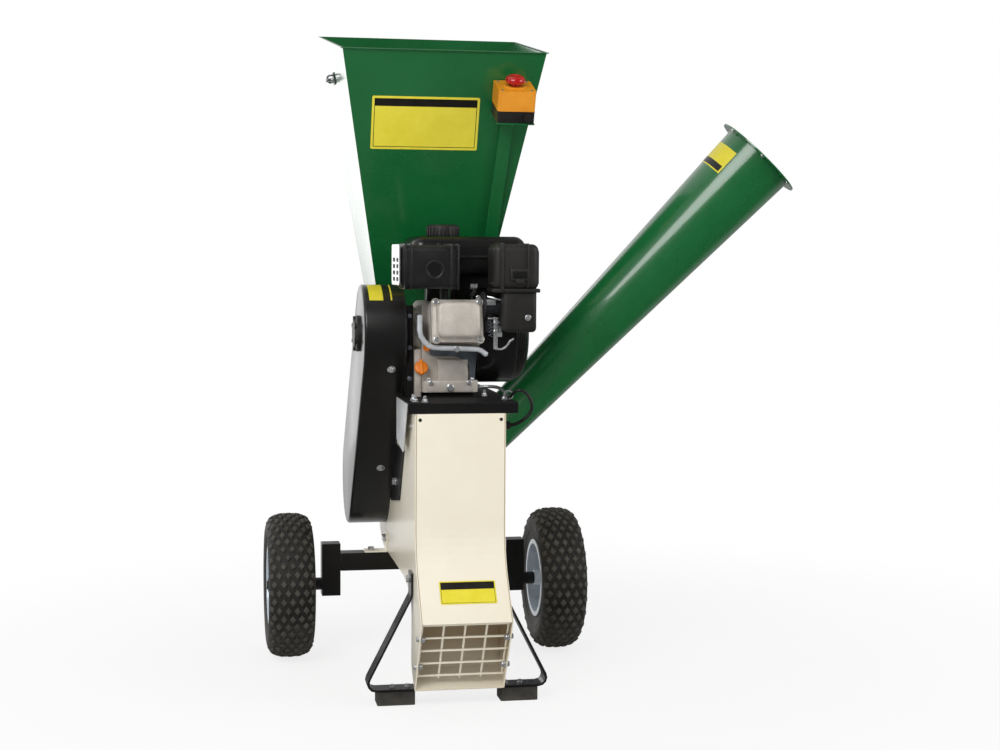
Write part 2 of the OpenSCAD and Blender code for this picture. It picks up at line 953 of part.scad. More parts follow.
// Strip bent round the underside of the cylinder, in (X, Z)
shroud_drop = crank_z - 26;
shroud_path = rounded(
    [
        [bore_x - 77, shroud_drop + 72], [bore_x - 77, shroud_drop + 26], [bore_x - 52, shroud_drop],
        [bore_x + 48, shroud_drop - 4], [bore_x + 62, shroud_drop - 14]
    ],
    [0, 12, 16, 10, 0]
);

module cylinder_shroud() {
    color(zinc)
        difference() {
            along_y(crank_y - 150, case_front)
                polygon(band(shroud_path, 2.5));
            cylinder_form();
            translate([0, crank_c.x, crank_c.y]) rod_x(2 * (fan_r + run_gap), fan_left - run_gap, fan_right);
        }
}

module fan_cover() {
    wall = 2.5;
    color(frame_black)
        translate([0, crank_c.x, crank_c.y])
            difference() {
                rod_x(2 * fan_r, fan_left, fan_right);
                rod_x(2 * (fan_r - wall), fan_left + wall, fan_right + 1);
                rod_x(60, fan_left - 1, fan_left + wall + 1);
            }
    color(zinc) translate([0, throttle_y, throttle_z]) rod_x(lever_stud_d, fan_left - 14, fan_left);
}

recoil_right = fan_right + 30;

module recoil_cover() {
    wall = 2.5;
    color(frame_black)
        translate([0, crank_c.x, crank_c.y])
            difference() {
                turned()
                    polygon([
                        [0, recoil_right], [fan_r - 26, recoil_right], [fan_r - 14, recoil_right - 6],
                        [fan_r, fan_right], [fan_r - wall, fan_right], [fan_r - 17, recoil_right - 6 - wall],
                        [fan_r - 28, recoil_right - wall], [0, recoil_right - wall]
                    ]);
                for (k = [0 : 11])
                    rotate([30 * k, 0, 0])
                        translate([recoil_right - 10, 40, -4]) cube([20, 28, 8]);
            }
}

// Starter handle: a grip on a rope stem that pulls out of the recoil cover, up and to the right
pull_dir = unit([0.62, 0.35, 0.7]);
handle_x = fan_right + 12;
handle_angle = 20;
handle_r = fan_r - 7;
handle_lift = 3.2;
handle_seat = [handle_x, crank_y + handle_r * cos(handle_angle), crank_z + handle_r * sin(handle_angle)];

module starter_handle() {
    color("#151617")
        translate(handle_seat + handle_lift * pull_dir)
            facing(pull_dir) {
                cylinder(d = 8, h = 10);
                slab([-26, -9, 8], [26, 9, 26], 8);
            }
}

tank_low = crank_z + 122;
tank_top = crank_z + 205;
tank_front = crank_y - 78;
tank_back = crank_y + 116;
tank_left = -82;
tank_right = 168;
cap_x = 0;
cap_y = crank_y + 24;

module fuel_tank() {
    color(frame_black) {
        pillar([tank_left, tank_front, tank_low], [tank_right, tank_back, tank_top - 14], 24);
        pillar([tank_left + 8, tank_front + 8, tank_top - 14], [tank_right - 8, tank_back - 8, tank_top], 22);
        translate([cap_x, cap_y, tank_top]) cylinder(d = 46, h = 8);
        for (x = [-40, 10])
            translate([x, crank_y - 20, crank_z + 68]) cube([28, 40, tank_low - crank_z - 68]);
        translate([22, crank_y - 48, crank_z + 70]) cube([34, 8, tank_low - crank_z - 68]);
        translate([54, crank_y - 48, crank_z + 97]) cube([58, 8, tank_low - crank_z - 95]);
    }
}

module fuel_cap() {
    color(frame_black)
        translate([cap_x, cap_y, tank_top])
            difference() {
                rotate_extrude()
                    polygon([
                        [23 + run_gap, run_gap], [34, run_gap], [35.5, 4], [35.5, 20], [32, 25], [0, 25],
                        [0, 8 + run_gap], [23 + run_gap, 8 + run_gap]
                    ]);
                for (k = [0 : 7])
                    rotate([0, 0, 45 * k])
                        translate([38, 0, 6]) cylinder(d = 12, h = 20);
            }
}

muffler_low = [-117, crank_y - 186, crank_z + 98];
muffler_high = [5, crank_y - 86, crank_z + 186];

module muffler() {
    color("#1F2022") {
        difference() {
            slab(muffler_low, muffler_high, 14);
            translate([-47, muffler_low.y - 1, (muffler_low.z + muffler_high.z) / 2 - 6])
                rotate([-90, 0, 0])
                    cylinder(d = 34, h = 9);
        }
        difference() {
            translate([-20, crank_y - 130, crank_z + 60]) cylinder(d = 17, h = 40);
            cylinder_form();
        }
        for (x = [-109, -97, -16, -2])
            slab(
                [x, muffler_low.y - 3, muffler_low.z - 2],
                [x + 5, muffler_high.y + 2, muffler_high.z + 3], 1.5
            );
    }
}

// Perforated sheet on the left of the muffler, bent away from it towards the back
module muffler_guard() {
    x1 = muffler_low.x;
    y1 = muffler_low.y + 22;
    color(zinc)
        intersection() {
            along_x(x1 - 20, x1)
                difference() {
                    polygon(rounded_loop(
                        rectangle(
                            [muffler_low.y + 2, muffler_low.z + 7], [muffler_high.y - 4, muffler_high.z + 1]
                        ),
                        8
                    ));
                    for (j = [0 : 1], k = [0 : 3])
                        translate([muffler_low.y + 29 + 40 * j, muffler_low.z + 19 + 13 * k])
                            polygon(rounded_loop(rectangle([-13, -4.2], [13, 4.2]), 3, 3));
                }
            translate([0, 0, muffler_low.z])
                linear_extrude(height = 100)
                    polygon([
                        [x1, muffler_low.y], [x1, y1], [x1 - 4, muffler_high.y], [x1 - 6, muffler_high.y],
                        [x1 - 2, y1], [x1 - 2, muffler_low.y]
                    ]);
        }
}

air_left = 72;
air_right = 167;
air_case_left = air_left + 20;
air_front = crank_y - 190;
air_back = crank_y - fan_r - 4;
air_low = crank_z + 10;
air_seam = crank_z + 102;
air_top = crank_z + 189;

module air_cleaner() {
    color(frame_black) {
        slab([air_case_left, air_front + 4, air_low], [air_right - 4, air_back, air_seam], 10);
        difference() {
            slab([air_left, air_front, air_seam - 8], [air_right, air_back, air_top], 14);
            translate([air_left + 36, air_front - 1, air_seam + 14]) cube([36, 4, 22]);
        }
        slab([air_left + 14, air_front - 4, air_seam - 10], [air_left + 22, air_back + 2, air_top + 3], 2);
        translate([0, choke_y, choke_z]) rod_x(lever_stud_d, air_case_left - 6, air_case_left + 2);
    }
}

carb_y = crank_y - 128;
carb_z = crank_z + 62;

module carburettor() {
    color("#3C3D3F")
        difference() {
            translate([0, carb_y, carb_z]) {
                rod_x(42, bore_x + fin_half, air_case_left);
                rod_x(58, bore_x + fin_half, bore_x + fin_half + 6);
                translate([bore_x + fin_half + 15, 0, -54]) cylinder(d = 24, h = 46);
            }
            slab([air_left - 1, air_front - 1, air_seam - 9], [air_right, air_back + 3, air_top], 14);
        }
}

// Levers turn about the X axis on studs of the air cleaner and of the fan cover
lever_t = 3;
lever_stud_d = 6;
choke_y = carb_y - 8;
choke_z = crank_z + 26;
throttle_y = crank_y - 60;
throttle_z = crank_z + 80;

module lever(len, hand) {
    difference() {
        union() {
            rod_x(14, 0, lever_t);
            translate([0, -len, -4]) cube([lever_t, len, 8]);
            translate([lever_t - hand, -len - 4, -4]) cube([hand, 8, 8]);
        }
        rod_x(lever_stud_d + 2 * bore_gap, -1, lever_t + 1);
    }
}

module choke_lever() {
    color(zinc)
        translate([air_case_left - lever_t - run_gap, choke_y, choke_z])
            rotate([25, 0, 0])
                lever(46, 12);
}

module throttle_lever() {
    color(zinc)
        translate([fan_left - 11, throttle_y, throttle_z])
            rotate([-20, 0, 0])
                lever(64, 14);
}

// Oil filler, in front of the crankcase on its left
oil_x = 31 - half_w;
oil_z = engine_z + 46;
oil_y = crank_y - 78;
oil_tilt = 65;

module on_filler() {
    translate([oil_x, oil_y, oil_z]) rotate([oil_tilt, 0, 0]) children();
}

module oil_cap() {
    color("#F08A1C")
        on_filler()
            translate([0, 0, 8]) {
                cylinder(d = 28, h = 12);
                translate([-3, -17, 0]) cube([6, 34, 10]);
            }
}

deck_left = -14 - half_w;
deck_right = half_w + 25;
deck_t = 3;
deck_back = throat_front - 16;

module engine_deck() {
    low = deck_top_z - deck_t;
    color(frame_black) {
        translate([-half_w, -front_reach, low]) cube([deck_right + half_w, deck_back + front_reach, deck_t]);
        translate([deck_left, -front_reach, low]) cube([-half_w - deck_left, 200, deck_t]);
        translate([deck_left, -front_reach, body_top_z])
            cube([deck_right - deck_left, plate_t, low - body_top_z]);
        translate([-half_w, deck_back - plate_t, body_top_z]) cube([body_w, plate_t, low - body_top_z]);
        for (x = [-half_w, half_w - plate_t])
            translate([x, plate_t - front_reach, body_top_z])
                cube([plate_t, deck_back + front_reach - 2 * plate_t, low - body_top_z]);
        for (y = [crank_y - 80, crank_y + 56])
            translate([-50, y, deck_top_z]) cube([100, 14, engine_z - deck_top_z]);
    }
}

module deck_bracket() {
    color("#B9BDBF")
        along_x(deck_left, deck_left + plate_t)
            polygon([
                [crank_y - 206, deck_top_z - deck_t], [crank_y - 35, deck_top_z - deck_t],
                [crank_y - 35, deck_top_z - 92], [crank_y - 139, deck_top_z - 108]
            ]);
}

// Turns +Z towards the unit vector d
module facing(d) {
    rotate([0, acos(d.z), atan2(d.y, d.x)]) children();
}

// Direction square to the guard's front run
guard_span = rotor_c - crank_c;
guard_angle = atan2(guard_span.y, guard_span.x) - acos((guard_r1 - guard_r2) / norm(guard_span));
guard_normal = [cos(guard_angle), sin(guard_angle)];

// Hexagon and dome heads on the body, the stand, the beam and the guard
module body_bolts() {
    color(zinc) {
        for (side = [-1, 1]) {
            translate([side * stand_side, stand_back - bar_w / 2, stand_bolt_z])
                facing([side, 0, 0])
                    hex_head(8);
            for (y = [-0.5, 0.5])
                translate([side * (half_w + plate_t), y * saddle_half, saddle_high - 16])
                    facing([side, 0, 0])
                        hex_head(8);
            translate([side * (half_w + saddle_reach - 16), 0, floor_z + plate_t]) hex_head(8);
            for (z = [0.32, 0.74])
                on_outlet()
                    translate([side * half_w, 10, z * outlet_len])
                        facing([side, 0, 0])
                            hex_head(6);
            for (y = [throat_front + 30, drum_back - 40])
                translate([side * (foot_half - 5), y, hopper_low]) cylinder(d = 7, h = 4, $fn = 6);
        }
        translate([guard_in, crank_y + 68, guard_tab_z - 83]) facing([-1, 0, 0]) hex_head(8);
        for (t = [0.01, 0.68])
            let (high = crank_c + guard_r1 * guard_normal, low = rotor_c + guard_r2 * guard_normal)
            let (edge = (1 - t) * high + t * low)
                translate([belt_x + 16, edge.x, edge.y])
                    facing([0, guard_normal.x, guard_normal.y])
                        dome_head(8);
    }
}

// Heads on the engine: valve cover corners, base flange and drain plug
module engine_bolts() {
    color(zinc) {
        on_cylinder(head_u + 5)
            for (x = [-1, 1], v = [-1, 1])
                translate([bore_x + x * (cover_half_x - 5), v * (cover_half_v - 5), 0])
                    cylinder(d = 7, h = 4, $fn = 6);
        for (x = [-1, 1])
            translate([x * 46, crank_y - 86, foot_top_z]) hex_head(6);
        translate([0, crank_y - 92, engine_z + 10]) facing([0, -1, 0]) hex_head(8);
    }
}

// Switch cable: from the clip on the deck's right end to the gland in the right side plate
cable_d = 7;
cable_sides = 8;
clip_y = 45 - front_reach;
clip_z = deck_top_z + 4.6;
gland_z = body_top_z - 29;
cable_route = [
    [case_right + 0.2, crank_y - 75, engine_z + 9],
    [half_w - 14, crank_y - 78, engine_z + 10],
    [half_w + 4, crank_y - 96, engine_z + 10],
    [half_w + 12, crank_y - 128, engine_z + 6],
    [half_w + 17, clip_y + 20, clip_z],
    [half_w + 25, clip_y + 8, clip_z + 10],
    [half_w + 35, clip_y, clip_z + 16],
    [half_w + 48, clip_y - 1, clip_z + 11],
    [half_w + 58, clip_y - 2, clip_z - 3],
    [half_w + 61, clip_y - 2, gland_z + 37],
    [half_w + 57, clip_y - 1, gland_z + 24],
    [half_w + 45, clip_y, gland_z + 12],
    [half_w + 30, clip_y, gland_z + 3],
    [half_w + 16, clip_y, gland_z]
];

// Point at t on the smooth curve through a route's points
function spline(p, t) =
    let (n = len(p) - 1, i = min(floor(t), n - 1), s = t - i)
    let (a = p[max(i - 1, 0)], b = p[i], c = p[i + 1], d = p[min(i + 2, n)])
    0.5 * (2 * b + (c - a) * s + (2 * a - 5 * b + 4 * c - d) * s * s + (3 * b - a - 3 * c + d) * s * s * s);

// Tube of diameter d swept along a route in a nearly upright plane
module swept_tube(route, d, rings, sides) {
    span = len(route) - 1;
    way = [for (k = [0 : rings]) spline(route, k / rings * span)];
    points = [
        for (k = [0 : rings])
            let (along = unit(way[min(k + 1, rings)] - way[max(k - 1, 0)]))
            let (side = unit(cross(along, [0, 1, 0])), up = cross(side, along))
            for (j = [0 : sides - 1])
                let (a = 360 * j / sides) way[k] + d / 2 * (cos(a) * side + sin(a) * up)
    ];
    faces = concat(
        [[for (j = [sides - 1 : -1 : 0]) j]],
        [
            for (k = [0 : rings - 1], j = [0 : sides - 1])
                let (a = k * sides + j, b = k * sides + (j + 1) % sides)
                each [[a, b, a + sides], [b, b + sides, a + sides]]
        ],
        [[for (j = [0 : sides - 1]) rings * sides + j]]
    );
    polyhedron(points, faces);
}

module kill_cable() {
    gland = cable_route[len(cable_route) - 1];
    color("#141516") {
        swept_tube(cable_route, cable_d, 32, cable_sides);
        translate([half_w, gland.y, gland.z]) facing([1, 0, 0]) cylinder(d = 16, h = gland.x - half_w);
        translate([half_w + 9, clip_y + 14, deck_top_z]) cube([14, 12, 1.2]);
    }
}

// Wheels
rim_r = rim_d / 2;
bead_r = rim_r - 8;
tyre_r = tyre_od / 2;
tyre_half = tyre_w / 2;
rim_half = rim_w / 2;
tyre_wall = 8;
tyre_side = [
    [bead_r + run_gap, rim_half - run_gap], [rim_r + 6, rim_half - run_gap], [rim_r + 24, tyre_half - 4],
    [tyre_r - 36, tyre_half], [tyre_r - 22, tyre_half - 3.5], [tyre_r - 12, tyre_half - 10],
    [tyre_r - 5, tyre_half - 20], [tyre_r - 1, tyre_half - 34], [tyre_r, tyre_half - 46]
];
tyre_path = concat(tyre_side, [for (i = [len(tyre_side) - 1 : -1 : 0]) [tyre_side[i].x, -tyre_side[i].y]]);

module tyre() {
    translate([wheel_x, 0, axle_z])
        turned()
            polygon(band(tyre_path, -tyre_wall));
}

// Pressed rim with a dished disc and a hub tube; outside of the wheel at +X
module rim() {
    well = bead_r - 3;
    dish = rim_half - 26;
    hub_r = spindle_d / 2 + 7;
    translate([wheel_x, 0, axle_z])
        turned()
            polygon([
                [rim_r, rim_half + 3], [rim_r, rim_half], [bead_r, rim_half], [bead_r, -rim_half],
                [rim_r, -rim_half], [rim_r, -rim_half - 3], [well, -rim_half - 3], [well, dish - 3],
                [60, dish - 3], [40, -7], [hub_r, -7], [hub_r, -hub_in],
                [spindle_d / 2 + bore_gap, -hub_in], [spindle_d / 2 + bore_gap, hub_out], [hub_r, hub_out],
                [hub_r, -4], [38, -4], [58, dish], [well, dish], [well, rim_half + 3]
            ]);
}

module tyre_left() {
    color("#202022") on_axle() mirror([1, 0, 0]) tyre();
}

module tyre_right() {
    color("#202022") on_axle() tyre();
}

module rim_left() {
    color("#A9B7C6") on_axle() mirror([1, 0, 0]) rim();
}

module rim_right() {
    color("#A9B7C6") on_axle() rim();
}

// Moves the part so that its origin is the middle of its box, on the floor
module placed() {
    translate([-centre_x, -centre_y, 0]) children();
}

placed() side_plate_left();
placed() side_plate_right();
placed() front_panel();
placed() duct_floor();
placed() drum_wrap();
placed() outlet_grille();
placed() engine_deck();
placed() deck_bracket();
placed() axle_beam();
placed() drop_brackets();
placed() spindles();
placed() saddle_brackets();
placed() body_bolts();
placed() stand();
placed() foot_left();
placed() foot_right();
placed() foot_bolts();
placed() hopper();
placed() estop_bracket();
placed() cable_channel();
placed() estop_base();
placed() estop_cover();
placed() estop_button();
placed() chute();
placed() chute_flange();
placed() chute_screws();
placed() belt_guard();
placed() guard_backplate();
placed() guard_cap();
placed() v_belt();
placed() rotor_bearings();
placed() rotor_shaft();
placed() rotor_drum();
placed() driven_pulley();
placed() crankcase();
placed() crankshaft();
placed() drive_pulley();
placed() flywheel();
placed() engine_cylinder();
placed() valve_cover();
placed() cylinder_shroud();
placed() fan_cover();
placed() recoil_cover();
placed() starter_handle();
placed() fuel_tank();
placed() fuel_cap();
placed() muffler();
placed() muffler_guard();
placed() air_cleaner();
placed() carburettor();
placed() throttle_lever();
placed() choke_lever();
placed() oil_cap();
placed() engine_bolts();
placed() kill_cable();
placed() tyre_left();
placed() tyre_right();
placed() rim_left();
placed() rim_right();
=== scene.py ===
"""Looks of the petrol garden shredder: finishes, worked details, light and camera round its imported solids."""
import logging
import math
from dataclasses import dataclass
from enum import Enum
from typing import Iterable, Sequence

import bmesh
import bpy
from mathutils import Euler, Matrix, Vector


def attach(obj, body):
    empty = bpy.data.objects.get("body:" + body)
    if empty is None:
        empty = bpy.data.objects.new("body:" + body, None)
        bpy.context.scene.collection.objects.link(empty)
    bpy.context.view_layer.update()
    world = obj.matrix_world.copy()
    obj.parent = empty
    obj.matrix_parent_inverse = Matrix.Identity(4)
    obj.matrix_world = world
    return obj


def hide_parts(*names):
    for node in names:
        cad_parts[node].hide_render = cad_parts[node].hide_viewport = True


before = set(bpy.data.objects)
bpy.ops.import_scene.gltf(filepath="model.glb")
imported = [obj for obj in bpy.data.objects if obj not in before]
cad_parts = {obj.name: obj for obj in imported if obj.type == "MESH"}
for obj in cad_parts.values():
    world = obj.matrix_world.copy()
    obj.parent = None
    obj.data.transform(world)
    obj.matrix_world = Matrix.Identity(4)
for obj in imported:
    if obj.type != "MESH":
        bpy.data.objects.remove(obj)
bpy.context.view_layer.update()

LOG = logging.getLogger("shredder")
Point = tuple[float, float, float]
Pair = tuple[float, float]
Colour = tuple[float, float, float]
Shape = bmesh.types.BMesh
Tree = bpy.types.NodeTree
Socket = bpy.types.NodeSocket

# The solids are set out in millimetres from the body's middle plane at the axle; this is the row frame's origin there
SETTING_OUT = Vector((208.2361, -187.0, 0.0))
TO_METRES = Matrix.Scale(0.001, 4) @ Matrix.Translation(-SETTING_OUT)
# Points nearer than this are one, in millimetres
MERGE = 1e-4
# Middle of the front panel's label, in millimetres, and the panel's slope there, in degrees
FRONT_LABEL = (7.4, -537.8, 241.0)
FRONT_SLOPE = -38.8


def srgb(red: int, green: int, blue: int) -> Colour:
    """Turns a colour of 0 to 255 steps into linear light.

    Args:
        red: Red step.
        green: Green step.
        blue: Blue step.

    Returns:
        The three linear values.
    """
    steps = (value / 255 for value in (red, green, blue))
    return tuple(s / 12.92 if s <= 0.04045 else ((s + 0.055) / 1.055) ** 2.4 for s in steps)


DUST_COLOUR = srgb(150, 142, 128)
BARE_WIRE = srgb(196, 198, 200)
# Reach of the lighter edges, painted highlight with a little rubbing, in metres
EDGE_WEAR_AND_SHEEN_RADIUS = 0.0012


def fill(tree: Tree, node: bpy.types.Node, inputs: dict) -> None:
    """Fills a node's inputs.

    Args:
        tree: The node's tree.
        node: The node.
        inputs: A value, or a socket to link, by the input's name or number.
    """
    for key, value in inputs.items():
        if isinstance(value, Socket):
            tree.links.new(value, node.inputs[key])
        else:
            node.inputs[key].default_value = value


def add_node(tree: Tree, kind: str, inputs: dict, **options: object) -> bpy.types.Node:
    """Adds a shader node and fills its inputs.

    Args:
        tree: The tree it goes in.
        kind: The node's type, without the common beginning.
        inputs: A value, or a socket to link, by the input's name or number.
        options: The node's own settings, such as its operation.

    Returns:
        The node.
    """
    node = tree.nodes.new("ShaderNode" + kind)
    for option, value in options.items():
        setattr(node, option, value)
    fill(tree, node, inputs)
    return node


def reckon(tree: Tree, operation: str, *values: Socket | float) -> Socket:
    """Gives the result of a sum with sockets or numbers."""
    return add_node(tree, "Math", dict(enumerate(values)), operation=operation).outputs["Value"]


def spread(tree: Tree, value: Socket, span: Pair = (0.0, 1.0), result: Pair = (0.0, 1.0), **options: str) -> Socket:
    """Maps a value's span to a result's span."""
    ends = zip(("From Min", "From Max", "To Min", "To Max"), (*span, *result))
    return add_node(tree, "MapRange", {"Value": value, **dict(ends)}, **options).outputs["Result"]


def axis_of(tree: Tree, vector: Socket, axis: str) -> Socket:
    """Gives one axis of a vector."""
    return add_node(tree, "SeparateXYZ", {"Vector": vector}).outputs[axis]


def blend(tree: Tree, base: Socket, top: Socket | tuple, mask: Socket) -> Socket:
    """Lays a colour over another by a mask.

    Args:
        tree: The tree.
        base: The colour below.
        top: The colour above.
        mask: How much of the upper one shows.

    Returns:
        The mixed colour.
    """
    return add_node(tree, "Mix", {"Factor": mask, "A": base, "B": top}, data_type="RGBA").outputs["Result"]


class Effect(Enum):
    """Surface effects that materials share, by the name of their node group."""

    MOTTLE = "mottled tone"
    GRAIN = "fine grain"
    WEAR = "edge wear"
    DUST = "ground dust"


class EffectGroups:
    """Builds the shared node groups once and hands them out."""

    @staticmethod
    def get(effect: Effect) -> Tree:
        """Finds or builds a group.

        Args:
            effect: The effect wanted.

        Returns:
            The group's node tree.
        """
        found = bpy.data.node_groups.get(effect.value)
        if found:
            return found
        tree = bpy.data.node_groups.new(effect.value, "ShaderNodeTree")
        builders = {
            Effect.MOTTLE: EffectGroups._mottle,
            Effect.GRAIN: EffectGroups._grain,
            Effect.WEAR: EffectGroups._edge_wear_and_sheen,
            Effect.DUST: EffectGroups._dust,
        }
        builders[effect](tree)
        return tree

    @staticmethod
    def _given(tree: Tree, **inputs: str) -> bpy.types.NodeOutputs:
        """Makes a group's inputs, by name and type, and gives their sockets."""
        for name, kind in inputs.items():
            tree.interface.new_socket(name, in_out="INPUT", socket_type="NodeSocket" + kind)
        return tree.nodes.new("NodeGroupInput").outputs

    @staticmethod
    def _made(tree: Tree, **outputs: Socket) -> None:
        """Makes a group's outputs and links them; an output named Colour is a colour and any other a number."""
        for name in outputs:
            kind = "NodeSocketColor" if name == "Colour" else "NodeSocketFloat"
            tree.interface.new_socket(name, in_out="OUTPUT", socket_type=kind)
        fill(tree, tree.nodes.new("NodeGroupOutput"), outputs)

    @staticmethod
    def _mottle(tree: Tree) -> None:
        """Broad change of tone: a colour between two, and its mask."""
        given = EffectGroups._given(tree, Vector="Vector", Scale="Float", Dark="Color", Light="Color")
        place = {"Vector": given["Vector"], "Scale": given["Scale"]}
        noise = add_node(tree, "TexNoise", {**place, "Detail": 5.0, "Roughness": 0.6})
        mask = spread(tree, noise.outputs["Fac"], (0.3, 0.7))
        EffectGroups._made(tree, Colour=blend(tree, given["Dark"], given["Light"], mask), Mask=mask)

    @staticmethod
    def _grain(tree: Tree) -> None:
        """Fine height: soft noise over small cells, stretched along the way it was worked."""
        given = EffectGroups._given(tree, Vector="Vector", Scale="Float", Stretch="Vector", Cells="Float")
        stretched = add_node(tree, "VectorMath", {0: given["Vector"], 1: given["Stretch"]}, operation="MULTIPLY")
        place = {"Vector": stretched.outputs["Vector"], "Scale": given["Scale"]}
        soft = add_node(tree, "TexNoise", {**place, "Detail": 3.0}).outputs["Fac"]
        cells = add_node(tree, "TexVoronoi", place).outputs["Distance"]
        mix = add_node(tree, "Mix", {"Factor": given["Cells"], "A": soft, "B": cells})
        EffectGroups._made(tree, Height=mix.outputs["Result"])

    @staticmethod
    def _edge_wear_and_sheen(tree: Tree) -> None:
        """Mask of lighter edges, a painted highlight with a little rubbing: where the rounded normal leaves the true
        one, broken up by noise.
        """
        given = EffectGroups._given(tree, Vector="Vector", Radius="Float", Amount="Float")
        eased = add_node(tree, "Bevel", {"Radius": given["Radius"]}).outputs["Normal"]
        true = add_node(tree, "NewGeometry", {}).outputs["Normal"]
        same = add_node(tree, "VectorMath", {0: eased, 1: true}, operation="DOT_PRODUCT").outputs["Value"]
        noise = add_node(tree, "TexNoise", {"Vector": given["Vector"], "Scale": 60.0})
        patchy = reckon(tree, "MULTIPLY", spread(tree, same, (0.99, 0.8)), noise.outputs["Fac"])
        EffectGroups._made(tree, Mask=reckon(tree, "MULTIPLY", patchy, given["Amount"]))

    @staticmethod
    def _dust(tree: Tree) -> None:
        """Mask of dust that thins out up to a height above the ground."""
        given = EffectGroups._given(tree, Vector="Vector", Top="Float")
        fall = spread(tree, axis_of(tree, given["Vector"], "Z"), (0.0, given["Top"]), (0.35, 0.0))
        noise = add_node(tree, "TexNoise", {"Vector": given["Vector"], "Scale": 45.0, "Detail": 6.0})
        EffectGroups._made(tree, Mask=reckon(tree, "MULTIPLY", fall, noise.outputs["Fac"]))


@dataclass(frozen=True)
class Finish:
    """One finish of the machine and the procedural material that shows it."""

    name: str
    slot: str
    dark: Colour
    light: Colour
    roughness: Pair
    metallic: float = 0.0
    coat: float = 0.0
    coat_roughness: float = 0.1
    specular: float = 0.5
    patch: float = 5.0
    grain: float = 900.0
    cells: float = 0.0
    stretch: Point = (1.0, 1.0, 1.0)
    relief: float = 0.0001
    # Strength and grey of the lighter edges: painted highlight with a little rubbing
    wear: float = 0.0
    edge_wear_and_sheen_colour: Colour = (0.45, 0.45, 0.45)
    dust_top: float = 0.0

    def material(self) -> bpy.types.Material:
        """Finds or builds the material.

        Returns:
            The finish's material.
        """
        found = bpy.data.materials.get(self.name)
        if found:
            return found
        material = bpy.data.materials.new(self.name)
        material.use_nodes = True
        tree = material.node_tree
        shader = tree.nodes["Principled BSDF"]
        place = add_node(tree, "TexCoord", {}).outputs["Object"]
        fill(tree, shader, {"Metallic": self.metallic, "Specular IOR Level": self.specular,
                            "Coat Weight": self.coat, "Coat Roughness": self.coat_roughness})
        colour, mask = self._tone(tree, place)
        # Lighter edges: painted highlight along the rounded edges, with a little rubbing
        if self.wear:
            rubbed_and_sheened = self._group(tree, Effect.WEAR, place, Radius=EDGE_WEAR_AND_SHEEN_RADIUS, Amount=self.wear)
            colour = blend(tree, colour, (*self.edge_wear_and_sheen_colour, 1.0), rubbed_and_sheened["Mask"])
        if self.dust_top:
            dusty = self._group(tree, Effect.DUST, place, Top=self.dust_top)
            colour = blend(tree, colour, (*DUST_COLOUR, 1.0), dusty["Mask"])
        fine = self._group(tree, Effect.GRAIN, place, Scale=self.grain, Stretch=self.stretch, Cells=self.cells)
        bump = add_node(tree, "Bump", {"Distance": self.relief, "Height": fine["Height"]})
        fill(tree, shader, {"Base Color": colour, "Roughness": spread(tree, mask, result=self.roughness),
                            "Normal": bump.outputs["Normal"]})
        return material

    @staticmethod
    def _group(tree: Tree, effect: Effect, place: Socket, **inputs: object) -> bpy.types.NodeOutputs:
        """Places a shared effect in the material.

        Args:
            tree: The material's tree.
            effect: The effect.
            place: The coordinates it reads.
            inputs: Its settings.

        Returns:
            The group's outputs.
        """
        group = EffectGroups.get(effect)
        return add_node(tree, "Group", {"Vector": place, **inputs}, node_tree=group).outputs

    def _tone(self, tree: Tree, place: Socket) -> tuple:
        """Gives the broad tone's colour and mask sockets."""
        shades = {"Dark": (*self.dark, 1.0), "Light": (*self.light, 1.0)}
        made = self._group(tree, Effect.MOTTLE, place, Scale=self.patch, **shades)
        return made["Colour"], made["Mask"]


@dataclass(frozen=True)
class SheathedWire(Finish):
    """Finish of a cable whose first stretch, above a slanting plane, is bare bright wire."""

    slant: Point = (0.0, 1.0, 0.0)
    bare_from: float = 0.0

    def _tone(self, tree: Tree, place: Socket) -> tuple:
        """Gives the sheath's colour and mask, with the bare stretch over it."""
        colour, mask = super()._tone(tree, place)
        reach = add_node(tree, "VectorMath", {0: place, 1: self.slant}, operation="DOT_PRODUCT").outputs["Value"]
        bare = reckon(tree, "GREATER_THAN", reach, self.bare_from)
        fill(tree, tree.nodes["Principled BSDF"], {"Metallic": bare})
        return blend(tree, colour, (*BARE_WIRE, 1.0), bare), mask


@dataclass(frozen=True)
class ShadedDuctCoat(Finish):
    """Coat whose inner faces, between the side plates, carry painted shade: a brown tint for the shadow inside the
    duct.
    """

    middle: float = 0.0
    half: float = 1.0
    painted_shade: Colour = (0.2, 0.15, 0.1)
    unshaded_below: float = 0.045
    full_shade_above: float = 0.13
    faintest_shade: float = 0.15
    upward: Pair = (0.5, 0.8)

    def _tone(self, tree: Tree, place: Socket) -> tuple:
        """Gives the coat's colour and mask, with painted shade over its inner faces that don't face down, deeper
        higher up.
        """
        colour, mask = super()._tone(tree, place)
        normal = tree.nodes["Texture Coordinate"].outputs["Normal"]
        inner = reckon(tree, "COMPARE", axis_of(tree, place, "X"), self.middle, self.half)
        upper = reckon(tree, "COMPARE", axis_of(tree, normal, "Z"), *self.upward)
        shade_depth = spread(tree, axis_of(tree, place, "Z"), (self.unshaded_below, self.full_shade_above), (self.faintest_shade, 1.0))
        share = reckon(tree, "MULTIPLY", reckon(tree, "MINIMUM", inner, upper), shade_depth)
        return blend(tree, colour, (*self.painted_shade, 1.0), share), mask


